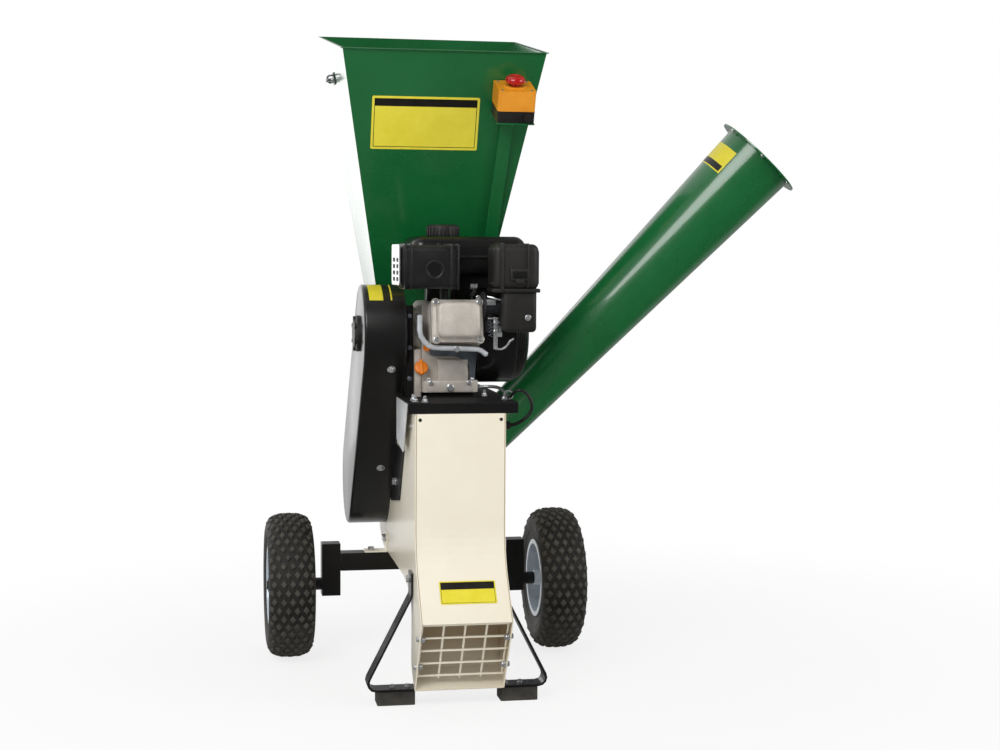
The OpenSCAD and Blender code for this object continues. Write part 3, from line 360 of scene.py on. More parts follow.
CREAM = Finish("cream powder coat", "cream_paint", srgb(238, 229, 207), srgb(244, 237, 218), (0.3, 0.42),
               coat=0.3, coat_roughness=0.2, grain=700, relief=0.00006)
# Cream with painted shade on the inner faces of the side plates and the duct floor.
SHADED_CREAM = ShadedDuctCoat("dusted cream coat", CREAM.slot, CREAM.dark, CREAM.light, CREAM.roughness,
                      coat=CREAM.coat, coat_roughness=CREAM.coat_roughness, grain=CREAM.grain,
                      relief=CREAM.relief, middle=-0.2082, half=0.0906, painted_shade=srgb(176, 156, 122))
BLACK = Finish("black powder coat", "black_paint", srgb(17, 16, 16), srgb(25, 23, 22), (0.28, 0.4),
               coat=0.3, coat_roughness=0.15, specular=0.4, grain=800, relief=0.00008, wear=0.35)
GREEN = Finish("green powder coat", "green_paint", srgb(13, 97, 46), srgb(20, 107, 54), (0.24, 0.34),
               coat=0.8, coat_roughness=0.1, grain=600, relief=0.00005)
GREY = Finish("zinc-plated sheet", "grey_steel", srgb(208, 211, 212), srgb(226, 228, 228), (0.3, 0.45),
              metallic=0.3, patch=30, grain=500, relief=0.00003)
ZINC = Finish("bright zinc", "zinc", srgb(196, 198, 200), srgb(228, 229, 230), (0.18, 0.34),
              metallic=0.75, patch=60, grain=900, relief=0.00003)
ROTOR = Finish("machined steel", "rotor_steel", srgb(108, 109, 111), srgb(140, 141, 142), (0.28, 0.45),
               metallic=1.0, patch=25, grain=1200, stretch=(0.05, 1.0, 1.0), relief=0.00004)
IRON = Finish("cast iron", "iron", srgb(52, 53, 55), srgb(76, 77, 79), (0.5, 0.7),
              metallic=0.7, patch=25, grain=700, cells=0.5, relief=0.0003)
CAST = Finish("cast aluminium", "cast_aluminium", srgb(188, 181, 171), srgb(215, 208, 198), (0.42, 0.58),
              metallic=0.3, patch=35, grain=1100, cells=0.45, relief=0.00018)
HEAT_BLACK = Finish("black heat paint", "black_muffler", srgb(17, 17, 18), srgb(30, 30, 30), (0.35, 0.5),
                    patch=20, grain=900, relief=0.00012, wear=0.3)
PLASTIC = Finish("black moulded plastic", "black_plastic", srgb(32, 31, 29), srgb(42, 40, 38), (0.42, 0.55),
                 patch=14, grain=1600, cells=0.6, relief=0.00012)
YELLOW = Finish("yellow moulded plastic", "yellow_plastic", srgb(228, 142, 18), srgb(240, 158, 30), (0.28, 0.4),
                coat=0.2, patch=20, grain=1500, relief=0.00004)
RED = Finish("red moulded plastic", "red_plastic", srgb(168, 14, 18), srgb(196, 22, 26), (0.18, 0.28),
             coat=0.5, patch=30, grain=1200, relief=0.00003)
ORANGE = Finish("orange moulded plastic", "orange_plastic", srgb(222, 112, 14), srgb(240, 140, 30), (0.32, 0.46),
                patch=60, grain=1500, relief=0.00006)
RUBBER = Finish("black rubber", "black_rubber", srgb(20, 20, 20), srgb(31, 30, 29), (0.55, 0.72),
                patch=20, grain=900, relief=0.00012, dust_top=0.06)
TYRE = Finish("tyre rubber", "tyre", srgb(26, 25, 24), srgb(43, 41, 38), (0.6, 0.78),
              patch=18, grain=1100, cells=0.3, relief=0.0002, dust_top=0.12)
# Studs lighter than the carcass: painted highlight on the studs, with some scuffing.
TREAD = Finish("worn tread", "tyre", srgb(56, 53, 48), srgb(84, 80, 73), (0.62, 0.8),
               patch=25, grain=1100, cells=0.3, relief=0.0002)
RIM = Finish("pale rim paint", "rim_paint", srgb(196, 208, 222), srgb(214, 223, 232), (0.24, 0.36),
             metallic=0.1, coat=0.3, patch=12, grain=700, relief=0.00004)
LABEL_YELLOW = Finish("yellow label film", "yellow_plastic", srgb(228, 213, 48), srgb(236, 222, 64), (0.3, 0.4),
                      patch=40, grain=1500, relief=0.00002)
LABEL_BLACK = Finish("black label film", "black_plastic", srgb(20, 19, 16), srgb(30, 28, 24), (0.32, 0.42),
                     patch=40, grain=1500, relief=0.00002)
DECK = Finish("dull black coat", "black_paint", srgb(14, 13, 13), srgb(21, 20, 19), (0.55, 0.7),
              specular=0.25, grain=800, relief=0.00008, wear=0.2)
CABLE = SheathedWire("cable sheath", "black_rubber", srgb(15, 15, 15), srgb(24, 24, 24), (0.4, 0.5),
                     patch=40, grain=1500, relief=0.00005, bare_from=-0.234)
BRIGHT = Finish("bright rolled plate", "zinc", srgb(200, 204, 209), srgb(226, 229, 233), (0.3, 0.42),
                metallic=0.35, patch=40, grain=900, relief=0.00004)
DARK_STEEL = Finish("oiled steel", "rotor_steel", srgb(92, 99, 107), srgb(126, 134, 142), (0.28, 0.42),
                    metallic=0.5, patch=50, grain=900, relief=0.00005)


class Axis(Enum):
    """The axis that a turned or drawn shape lies along."""

    X = 0
    Y = 1
    Z = 2

    def frame(self) -> Matrix:
        """Gives the turn that lays local Z along this axis, towards the front for Y, with local Y up."""
        if self is Axis.X:
            return Matrix(((0, 0, 1, 0), (1, 0, 0, 0), (0, 1, 0, 0), (0, 0, 0, 1)))
        if self is Axis.Y:
            return Matrix(((1, 0, 0, 0), (0, 0, -1, 0), (0, 1, 0, 0), (0, 0, 0, 1)))
        return Matrix.Identity(4)


CORNERS = ((-1, -1), (-1, 1), (1, -1), (1, 1))


def moved(x: float, y: float, z: float) -> Matrix:
    """Gives a shift as a matrix."""
    return Matrix.Translation((x, y, z))


def to_front(x: float, y: float, z: float) -> Matrix:
    """Gives a place whose local Z points to the front."""
    return moved(x, y, z) @ Axis.Y.frame()


def turn(degrees: float, axis: Axis) -> Matrix:
    """Gives a turn about an axis through the origin as a matrix."""
    return Matrix.Rotation(math.radians(degrees), 4, axis.name)


def facing(direction: Sequence[float]) -> Matrix:
    """Gives the turn that points local Z along a direction."""
    return Vector(direction).to_track_quat("Z", "Y").to_matrix().to_4x4()


def laid(shape: Shape, axis: Axis = Axis.Z) -> Shape:
    """Turns a new shape's faces outwards and lays its local Z along an axis."""
    bmesh.ops.recalc_face_normals(shape, faces=shape.faces)
    bmesh.ops.transform(shape, matrix=axis.frame(), verts=shape.verts)
    return shape


def block(low: Point, high: Point, bevel: float = 0.0, segments: int = 3) -> Shape:
    """Makes a box with rounded edges.

    Args:
        low: Low corner.
        high: High corner.
        bevel: Radius of the edges.
        segments: Steps of the rounding.

    Returns:
        The shape.
    """
    shape = bmesh.new()
    middle = (Vector(low) + Vector(high)) / 2
    size = Vector(high) - Vector(low)
    bmesh.ops.create_cube(shape, size=1.0, matrix=Matrix.Translation(middle) @ Matrix.Diagonal((*size, 1.0)))
    return round_edges(shape, bevel, segments)


def round_edges(
    shape: Shape, radius: float, segments: int = 2, over: float = 30.0
) -> Shape:
    """Rounds the edges that turn by more than an angle.

    Args:
        shape: The shape.
        radius: Radius of the rounding; 0 leaves the shape alone.
        segments: Steps of the rounding.
        over: Least angle between an edge's faces, in degrees.

    Returns:
        The same shape.
    """
    if radius <= 0:
        return shape
    limit = math.radians(over)
    sharp = [e for e in shape.edges if len(e.link_faces) == 2 and e.calc_face_angle() > limit]
    bmesh.ops.bevel(
        shape, geom=sharp, offset=radius, offset_type="OFFSET", segments=segments, profile=0.5,
        affect="EDGES", clamp_overlap=True, material=-1,
    )
    return shape


def turned(profile: Iterable[Pair], axis: Axis = Axis.Z, steps: int = 32) -> Shape:
    """Spins an outline of (radius, height) about an axis through the origin.

    Args:
        profile: The points of the outline, in order.
        axis: The axis of the shape.
        steps: Steps of a full turn.

    Returns:
        The shape.
    """
    shape = bmesh.new()
    points = [shape.verts.new((radius, 0.0, height)) for radius, height in profile]
    edges = [shape.edges.new(pair) for pair in zip(points, points[1:])]
    bmesh.ops.spin(
        shape, geom=points + edges, cent=(0, 0, 0), axis=(0, 0, 1), dvec=(0, 0, 0),
        angle=2 * math.pi, steps=steps, use_merge=True, use_duplicate=False,
    )
    bmesh.ops.remove_doubles(shape, verts=shape.verts, dist=MERGE)
    return laid(shape, axis)


def stud(radius: float, length: float, axis: Axis = Axis.Z, steps: int = 14) -> Shape:
    """Makes a round stud with a small chamfer at its tip, standing on its foot."""
    return turned([(0, 0), (radius, 0), (radius, length - 1), (radius - 0.8, length), (0, length)], axis, steps)


def film(ends: Sequence[Point], axis: Axis, sweep: float, steps: int) -> Shape:
    """Bends a thin film round an axis through the origin, facing away from it.

    Args:
        ends: The two ends of its first edge.
        axis: The axis.
        sweep: How far it reaches round, in degrees.
        steps: Steps of the bend.

    Returns:
        The shape.
    """
    shape = bmesh.new()
    points = [shape.verts.new(end) for end in ends]
    way = [float(step == axis.value) for step in range(3)]
    bmesh.ops.spin(
        shape, geom=[*points, shape.edges.new(points)], cent=(0, 0, 0), axis=way, dvec=(0, 0, 0),
        angle=-math.radians(sweep), steps=steps, use_merge=False, use_duplicate=False,
    )
    bmesh.ops.recalc_face_normals(shape, faces=shape.faces)
    face = next(iter(shape.faces))
    outward = face.calc_center_median()
    outward[axis.value] = 0.0
    if face.normal.dot(outward) < 0:
        bmesh.ops.reverse_faces(shape, faces=shape.faces)
    return shape


def drawn(outline: Sequence[Pair], length: float, axis: Axis = Axis.Z) -> Shape:
    """Draws a closed flat outline out along an axis.

    Args:
        outline: The points of the outline.
        length: Length along the axis, from 0.
        axis: The axis of the shape.

    Returns:
        The shape.
    """
    shape = bmesh.new()
    face = shape.faces.new([shape.verts.new((u, v, 0.0)) for u, v in outline])
    side = bmesh.ops.extrude_face_region(shape, geom=[face])["geom"]
    ends = [v for v in side if isinstance(v, bmesh.types.BMVert)]
    bmesh.ops.translate(shape, vec=(0, 0, length), verts=ends)
    return laid(shape, axis)


def bar(path: Sequence[Point], radius: float, sides: int = 10, smooth: bool = False) -> Shape:
    """Makes a round bar along a path.

    Args:
        path: The points that the bar's middle follows.
        radius: Radius of the bar.
        sides: Sides of its section, even.
        smooth: Whether the path is curved through its points.

    Returns:
        The shape.
    """
    curve = bpy.data.curves.new("bar", "CURVE")
    curve.dimensions = "3D"
    curve.bevel_depth = radius
    curve.bevel_resolution = sides // 2 - 2
    curve.use_fill_caps = True
    curve.resolution_u = 8
    spline = curve.splines.new("NURBS" if smooth else "POLY")
    spline.points.add(len(path) - 1)
    for point, place in zip(spline.points, path):
        point.co = (*place, 1.0)
    spline.use_endpoint_u = True
    spline.order_u = 3
    carrier = bpy.data.objects.new("bar", curve)
    bpy.context.scene.collection.objects.link(carrier)
    mesh = bpy.data.meshes.new_from_object(carrier.evaluated_get(bpy.context.evaluated_depsgraph_get()))
    shape = bmesh.new()
    shape.from_mesh(mesh)
    bpy.data.objects.remove(carrier)
    bpy.data.curves.remove(curve)
    bpy.data.meshes.remove(mesh)
    bmesh.ops.remove_doubles(shape, verts=shape.verts, dist=MERGE)
    return laid(shape)


def hex_bolt(size: float) -> Shape:
    """Makes a hexagon head with its collar, standing on the XY plane.

    Args:
        size: Thread size of the bolt.

    Returns:
        The shape.
    """
    collar = ((0, 0), (1.05, 0), (1.05, 0.16), (0.9, 0.25), (0, 0.25))
    shape = turned([(radius * size, height * size) for radius, height in collar], steps=20)
    head = bmesh.new()
    bmesh.ops.create_cone(
        head, cap_ends=True, segments=6, radius1=0.9 * size, radius2=0.9 * size, depth=0.66 * size,
        matrix=moved(0, 0, 0.57 * size),
    )
    round_edges(head, 0.07 * size, 1)
    return join(shape, head)


def dome_bolt(size: float) -> Shape:
    """Makes a dome head with a cross recess's shallow dimple, standing on the XY plane."""
    dome = ((0, 0), (1.1, 0), (1.1, 0.14), (0.98, 0.2), (0.9, 0.22), (0.82, 0.44), (0.62, 0.62), (0.36, 0.7),
            (0.2, 0.6), (0, 0.56))
    return turned([(radius * size, height * size) for radius, height in dome], steps=20)


def join(shape: Shape, other: Shape, place: Matrix | None = None) -> Shape:
    """Adds a shape to another and frees it.

    Args:
        shape: The shape that grows.
        other: The shape that is added.
        place: Where the added shape goes.

    Returns:
        The grown shape.
    """
    if place is not None:
        bmesh.ops.transform(other, matrix=place, verts=other.verts)
        if place.determinant() < 0:
            bmesh.ops.reverse_faces(other, faces=other.faces)
    mesh = bpy.data.meshes.new("join")
    other.to_mesh(mesh)
    other.free()
    shape.from_mesh(mesh)
    bpy.data.meshes.remove(mesh)
    return shape


class Piece:
    """One mesh of the scene, built in setting-out millimetres and placed in the row frame."""

    def __init__(self, name: str) -> None:
        """Starts an empty piece.

        Args:
            name: The piece's name.
        """
        self.name = name
        self.shape = bmesh.new()
        self.finishes: list[Finish] = []

    def add(self, part: Shape, finish: Finish, place: Matrix | None = None) -> "Piece":
        """Adds a part in a finish.

        Args:
            part: The part's shape, which is used up.
            finish: The finish of its faces.
            place: Where it goes.

        Returns:
            The piece itself.
        """
        if finish not in self.finishes:
            self.finishes.append(finish)
        index = self.finishes.index(finish)
        for face in part.faces:
            face.material_index = index
        join(self.shape, part, place)
        return self

    def set_in(self, body: str = "frame", replaces: Sequence[str] = (), crease: float = 35.0) -> bpy.types.Object:
        """Makes the piece an object that rides on a body.

        Args:
            body: The CAD body.
            replaces: CAD nodes that it stands for.
            crease: Angle above which an edge stays sharp, in degrees.

        Returns:
            The object.
        """
        limit = math.radians(crease)
        for face in self.shape.faces:
            face.smooth = True
        for edge in self.shape.edges:
            edge.smooth = len(edge.link_faces) != 2 or edge.calc_face_angle() < limit
        bmesh.ops.transform(self.shape, matrix=TO_METRES, verts=self.shape.verts)
        mesh = bpy.data.meshes.new(self.name)
        self.shape.to_mesh(mesh)
        self.shape.free()
        for finish in self.finishes:
            mesh.materials.append(finish.material())
        made = bpy.data.objects.new(self.name, mesh)
        bpy.context.scene.collection.objects.link(made)
        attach(made, body)
        if replaces:
            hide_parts(*replaces)
        LOG.info("%s: %d faces on %s", self.name, len(mesh.polygons), body)
        return made


class Side(Enum):
    """The two sides of the machine, by the sign of X."""

    LEFT = -1
    RIGHT = 1

    @property
    def word(self) -> str:
        """Gives the side's name as the solids use it."""
        return self.name.lower()


@dataclass
class RoadWheel:
    """A pneumatic tyre with diamond studs, and the small parts of its rim."""

    side: Side
    track: float = 610.0
    shift: float = -9.0
    radius: float = 162.5
    half_width: float = 52.0
    bead_radius: float = 81.4
    bead_half: float = 43.1
    stud_height: float = 5.0
    stud_rows: int = 50
    stud_pitch: float = 19.0
    stud_sink: float = 0.6
    stud_foot: float = 10.0
    stud_tip: float = 7.4
    stud_narrow: float = 0.76
    clearance: float = 0.3
    crown_fall: Pair = (4.9, 20.0)
    rib_place: Pair = (45.4, 142.6)
    rib_lean: float = 54.0

    def hub(self) -> Matrix:
        """Gives the wheel's middle, with +X to the outside."""
        outward = self.side.value
        return moved(outward * self.track / 2 + self.shift, 0, self.radius) @ Matrix.Diagonal((outward, 1, 1, 1))

    def crown(self, x: float) -> float:
        """Gives the carcass radius at a distance from the middle plane."""
        top = self.radius - self.stud_height - self.clearance
        share = abs(x) / self.half_width
        return top - self.crown_fall[0] * share ** 2 - self.crown_fall[1] * share ** 4

    def build(self) -> None:
        """Makes the tyre and dresses the rim."""
        word = self.side.word
        tyre = Piece(f"studded_tyre_{word}")
        tyre.add(self._carcass(), TYRE, self.hub())
        self._tread(tyre)
        tyre.set_in(f"wheel_{word}", replaces=[f"tyre_{word}"])
        trim = Piece(f"rim_fittings_{word}")
        trim.add(self._valve(), RUBBER, self.hub())
        trim.add(self._cap_ring(), RIM, self.hub())
        trim.set_in(f"wheel_{word}")

    def _carcass(self) -> Shape:
        """Spins the tyre's closed section, with its wall beads and rim guard rib."""
        crown = [(self.crown(x), x) for x in (0, 12, 22, 31, 38)]
        wall = [
            (145.5, 42.5), (141.5, 46.4), (136.5, 49.4), (129.0, 51.4), (121.0, 50.4), (113.5, 48.3), (112.5, 49.0),
            (110.0, 48.2), (109.5, 47.2), (103.0, 45.2), (97.0, 43.6), (93.0, self.bead_half),
            (self.bead_radius, self.bead_half),
        ]
        half = crown + wall
        inner = [(self.bead_radius, 34.0), (100.0, 36.0), (118.0, 42.0), (134.0, 42.0), (143.0, 32.0), (149.5, 0.0)]
        outline = [*reversed([(r, -x) for r, x in half[1:]]), *half, *inner, *[(r, -x) for r, x in inner[-2::-1]]]
        outline.append(outline[0])
        return turned(outline, Axis.X, steps=72)

    def _tread(self, tyre: Piece) -> None:
        """Sets staggered rows of diamond studs over the crown and ribs down the shoulders."""
        for row in range(self.stud_rows):
            about = turn(360.0 * row / self.stud_rows, Axis.X)
            count = 5 if row % 2 else 4
            for k in range(count):
                x = (k - (count - 1) / 2) * self.stud_pitch
                lean = math.degrees(math.atan2(self.crown(abs(x) + 1) - self.crown(abs(x)), 1.0))
                seat = moved(x, 0, self.crown(x) - self.stud_sink) @ turn(-lean if x > 0 else lean, Axis.Y)
                tyre.add(self._stud(), TREAD, self.hub() @ about @ seat)
            if row % 2 == 0:
                for edge in (-1, 1):
                    seat = moved(edge * self.rib_place[0], 0, self.rib_place[1]) @ turn(edge * self.rib_lean, Axis.Y)
                    tyre.add(self._shoulder_rib(), TREAD, self.hub() @ about @ seat)

    def _stud(self) -> Shape:
        """Makes one diamond stud with tapered sides, standing on the XY plane."""
        shape = bmesh.new()
        bmesh.ops.create_cone(
            shape, cap_ends=True, segments=4, radius1=self.stud_foot, radius2=self.stud_tip, depth=self.stud_height,
            matrix=Matrix.Diagonal((self.stud_narrow, 1, 1, 1)) @ moved(0, 0, self.stud_height / 2),
        )
        return round_edges(shape, 0.7, 1)

    @staticmethod
    def _shoulder_rib() -> Shape:
        """Makes one rounded block of the shoulder."""
        return block((-6.5, -5.5, -3.0), (6.0, 5.5, 2.0), 1.5, 1)

    @staticmethod
    def _valve() -> Shape:
        """Makes the valve stem with its cap, standing out of the rim well on the inner side."""
        stem = turned([(0, 0), (5.0, 0), (5.0, 6), (3.4, 10), (3.4, 20), (4.2, 20), (4.2, 27), (3.2, 29), (0, 29)],
                      steps=14)
        bmesh.ops.transform(stem, matrix=moved(-8, 0, 76) @ facing((-1, 0, -0.25)), verts=stem.verts)
        return stem

    @staticmethod
    def _cap_ring() -> Shape:
        """Makes the weld bead between the dish and the hub tube."""
        return turned([(17.2, -4.0), (20.5, -3.9), (19.6, -2.4), (17.2, -1.2)], Axis.X, steps=32)


@dataclass
class OutletGrille:
    """Welded wire grille in the outlet, leaning with the outlet plane."""

    sill: Pair = (-485.0, 36.0)
    lip: Pair = (-580.0, 188.0)
    half: float = 88.7
    set_back: float = 12.0
    low: float = 26.0
    top_gap: float = 14.0
    wire: float = 2.3
    stub: float = 10.0
    columns: int = 4
    rows: int = 4
    bolt_depth: float = 6.0
    bolt_shares: Pair = (0.32, 0.74)

    def plane(self) -> Matrix:
        """Gives the outlet plane: X across, Z up the plane and Y into the duct."""
        lean = math.atan2(self.sill[0] - self.lip[0], self.lip[1] - self.sill[1])
        return moved(0, *self.sill) @ Matrix.Rotation(lean, 4, "X")

    def length(self) -> float:
        """Gives the height of the opening along its plane."""
        return math.dist(self.sill, self.lip)

    def build(self) -> None:
        """Makes the wires, and the bolts with nuts in the sides beside them."""
        grille = Piece("wire_grille")
        high = self.length() - self.top_gap
        for k in range(self.rows + 1):
            z = self.low + k * (high - self.low) / self.rows
            across = [(-self.half, self.set_back, z), (self.half, self.set_back, z)]
            grille.add(bar(across, self.wire), CREAM, self.plane())
        for k in range(self.columns + 1):
            x = (self.half - self.wire) * (2 * k / self.columns - 1)
            y = self.set_back + 1.6 * self.wire
            stub = self.stub if 0 < k < self.columns else 0.0
            grille.add(bar([(x, y, self.low - stub), (x, y, high)], self.wire), CREAM, self.plane())
        grille.set_in(replaces=["outlet_grille"])
        bolts = Piece("grille_bolts")
        for side in Side:
            for share in self.bolt_shares:
                spot = moved(side.value * (self.half + 0.2), self.bolt_depth, share * self.length())
                seat = self.plane() @ spot @ facing((-side.value, 0, 0))
                bolts.add(turned([(0, 0), (7.5, 0), (7.5, 1.6), (0, 1.6)], steps=20), ZINC, seat)
                bolts.add(hex_bolt(7), ZINC, seat @ moved(0, 0, 1.4))
                bolts.add(stud(3.6, 10), ZINC, seat)
        bolts.set_in()


def rounded(width: float, height: float, radius: float, steps: int = 4) -> list[Pair]:
    """Gives the outline of a rectangle with round corners about the origin.

    Args:
        width: Its width.
        height: Its height.
        radius: Radius of its corners.
        steps: Steps of a corner.

    Returns:
        The points of the outline, anticlockwise.
    """
    points = []
    for quarter, (x, y) in enumerate(((1, 1), (-1, 1), (-1, -1), (1, -1))):
        for step in range(steps + 1):
            angle = math.radians(90 * (quarter + step / steps))
            points.append((x * (width / 2 - radius) + radius * math.cos(angle),
                           y * (height / 2 - radius) + radius * math.sin(angle)))
    return points


@dataclass
class BeltGuard:
    """Pressed belt cover: a deep tray with round ends, a hub cap and a blank label over its top."""

    crank: Pair = (-255.0, 742.0)
    rotor: Pair = (40.0, 400.0)
    crank_radius: float = 103.0
    rotor_radius: float = 105.0
    outside: float = -180.0
    inside: float = -95.0
    edge: float = 6.0
    sheet: float = 2.0
    end_steps: int = 28
    label_from: float = 44.0
    label_sweep: float = 38.0
    label_lift: float = 0.35

    def outline(self) -> list[Pair]:
        """Gives the tray's outline in (Y, Z): two arcs and the straight sides that touch both."""
        way = Vector(self.rotor) - Vector(self.crank)
        lean = math.atan2(way.y, way.x)
        open_by = math.acos((self.crank_radius - self.rotor_radius) / way.length)
        points = []
        for centre, radius, start, stop in (
            (self.rotor, self.rotor_radius, lean - open_by, lean + open_by),
            (self.crank, self.crank_radius, lean + open_by, lean - open_by + 2 * math.pi),
        ):
            for step in range(self.end_steps + 1):
                angle = start + (stop - start) * step / self.end_steps
                points.append((centre[0] + radius * math.cos(angle), centre[1] + radius * math.sin(angle)))
        return points

    def build(self) -> None:
        """Presses the tray, turns its cap and lays its label."""
        Piece("belt_guard_tray").add(self._tray(), BLACK).set_in(replaces=("belt_guard",))
        Piece("belt_guard_cap").add(self._cap(), PLASTIC, moved(self.outside, *self.crank)).set_in(
            replaces=("guard_cap",))
        label = Piece("belt_guard_label")
        for low, high, finish in ((-167.0, -138.0, LABEL_YELLOW), (-138.0, -122.5, LABEL_BLACK),
                                  (-122.5, -119.5, LABEL_YELLOW)):
            label.add(self._strip(low, high), finish, moved(0, *self.crank))
        label.set_in()

    def _tray(self) -> Shape:
        """Draws the tray in sheet, open towards the machine."""
        shape = drawn(self.outline(), self.inside - self.outside, Axis.X)
        bmesh.ops.translate(shape, vec=(self.outside, 0, 0), verts=shape.verts)
        back = [face for face in shape.faces if all(v.co.x > self.inside - 0.01 for v in face.verts)]
        bmesh.ops.delete(shape, geom=back, context="FACES_ONLY")
        round_edges(shape, self.edge, 4, 60.0)
        bmesh.ops.recalc_face_normals(shape, faces=shape.faces)
        front = max(shape.faces, key=lambda face: face.calc_area())
        if front.normal.x > 0:
            bmesh.ops.reverse_faces(shape, faces=shape.faces)
        bmesh.ops.solidify(shape, geom=shape.faces, thickness=self.sheet)
        return shape

    def _cap(self) -> Shape:
        """Turns the hub cap with its six grips, outwards along -X."""
        shape = turned([(0, -13.6), (25, -13.6), (30, -12.6), (32, -9.2), (36.4, -8.6), (38, -7), (38, 0), (0, 0)],
                       Axis.X, 48)
        for step in range(6):
            grip = block((-13.9, -3.4, 25.0), (-8.0, 3.4, 36.6), 1.2, 2)
            join(shape, grip, turn(60 * step, Axis.X))
        return shape

    def _strip(self, low: float, high: float) -> Shape:
        """Bends a strip of label over the tray's top.

        Args:
            low: X of its left edge.
            high: X of its right edge.

        Returns:
            The shape, about the crank's axis.
        """
        radius, start = self.crank_radius + self.label_lift, math.radians(self.label_from)
        ends = [(x, -radius * math.cos(start), radius * math.sin(start)) for x in (low, high)]
        return film(ends, Axis.X, self.label_sweep, 10)


@dataclass
class Label:
    """Blank label film: a yellow field with a dark band along its top and a thin dark rule round it."""

    name: str
    place: Matrix
    width: float
    height: float
    band: float
    rule: float = 1.4
    margin: float = 5.0
    corner: float = 3.0
    film: float = 0.35
    ink: float = 0.05

    def build(self) -> None:
        """Cuts the film and prints its band and its rule."""
        high = self.height / 2 - self.margin
        wide = self.width / 2 - self.margin
        piece = Piece(self.name)
        piece.add(drawn(rounded(self.width, self.height, self.corner), self.film), LABEL_YELLOW, self.place)
        marks = [
            ((-wide, high - self.band), (wide, high)),
            ((-wide, -high), (wide, self.rule - high)),
            ((-wide, self.rule - high), (self.rule - wide, high - self.band)),
            ((wide - self.rule, self.rule - high), (wide, high - self.band)),
        ]
        for low, top in marks:
            piece.add(block((*low, self.film / 2), (*top, self.film + self.ink)), LABEL_BLACK, self.place)
        piece.set_in()


@dataclass
class Hopper:
    """Fittings of the hopper: the stop switch, the side catch and the blank label on its front."""

    lean: float = 21.9
    foot: Pair = (34.0, 595.0)
    slope: float = 297.0 / 739.0
    switch: Pair = (144.0, 1213.0)
    box_side: float = 80.0
    box_gap: float = 4.0
    cover_top: float = 71.0
    screw_reach: float = 31.0
    side_slope: float = 0.184
    catch: Point = (-209.4, 16.0, 1298.0)
    label: Pair = (-35.0, 1187.0)
    label_size: Point = (230.0, 117.0, 17.0)

    def on_front(self, x: float, z: float) -> Matrix:
        """Gives a place on the front wall, with +Z up the wall and -Y out of it."""
        return moved(x, self.foot[0] - (z - self.foot[1]) * self.slope, z) @ turn(self.lean, Axis.X)

    def build(self) -> None:
        """Fits the switch, the catch and the label."""
        at = self.on_front(*self.switch) @ moved(0, -self.box_side / 2 - self.box_gap, 0)
        Piece("stop_mushroom").add(self._mushroom(), RED, at).set_in("stop_button", ("estop_button",))
        trim = Piece("stop_switch_trim")
        trim.add(self._collar(), YELLOW, at)
        trim.add(self._seam(), PLASTIC, at)
        for x, y in CORNERS:
            seat = at @ moved(x * self.screw_reach, y * self.screw_reach, self.cover_top - 0.2)
            trim.add(dome_bolt(2.6), DARK_STEEL, seat)
        trim.set_in()
        self._catch()
        Label("hopper_label", self.on_front(*self.label) @ Axis.Y.frame(), *self.label_size).build()

    def _mushroom(self) -> Shape:
        """Turns the mushroom with its plunger, dished on top."""
        return turned([
            (0, 53), (9.7, 53), (9.7, 79.3), (12.5, 80.2), (18.4, 79.1), (20.4, 80.4), (21, 83), (20.8, 86.2),
            (19.4, 89.4), (16.6, 91.9), (13.2, 93.1), (11.4, 92.6), (9.2, 91.4), (0, 90.9),
        ], steps=40)

    def _collar(self) -> Shape:
        """Turns the low collar round the plunger."""
        top = self.cover_top
        return turned([(10.8, top - 1), (24.5, top - 1), (24.5, top + 0.8), (23.2, top + 2), (13, top + 2),
                       (10.8, top + 1), (10.8, top - 1)], steps=40)

    def _seam(self) -> Shape:
        """Draws the gasket that shows between the box and its cover."""
        return join(bmesh.new(), drawn(rounded(self.box_side + 0.8, self.box_side + 0.8, 6.4), 1.4), moved(0, 0, 26.3))

    def _catch(self) -> None:
        """Bolts the lid catch to the left wall: a plate, a stud with a wing nut and a hook."""
        wall = moved(*self.catch) @ turn(-90 - math.degrees(math.atan(self.side_slope)), Axis.Y)
        piece = Piece("hopper_side_catch")
        piece.add(block((-13, -17, 0), (13, 17, 2.4), 1.0, 2), BLACK, wall)
        piece.add(hex_bolt(5.5), ZINC, wall @ moved(-4, 7, 2.2))
        piece.add(stud(4, 18, steps=16), ZINC, wall @ moved(-2, -6, 2.2))
        for side in (-1, 1):
            wing = block((-1.6, 3.5, 7.5), (1.6, 13, 15.5), 1.5, 2)
            piece.add(wing, BLACK, wall @ moved(-2, -6, 2.2) @ turn(180 if side > 0 else 0, Axis.Z))
        hook = [(7, -10, 2), (8, -10, 11), (6, -7, 15), (0, 2, 15.5), (-6, 10, 13), (-7, 12, 7)]
        piece.add(bar(hook, 2.1, 8, True), DARK_STEEL, wall)
        piece.set_in()


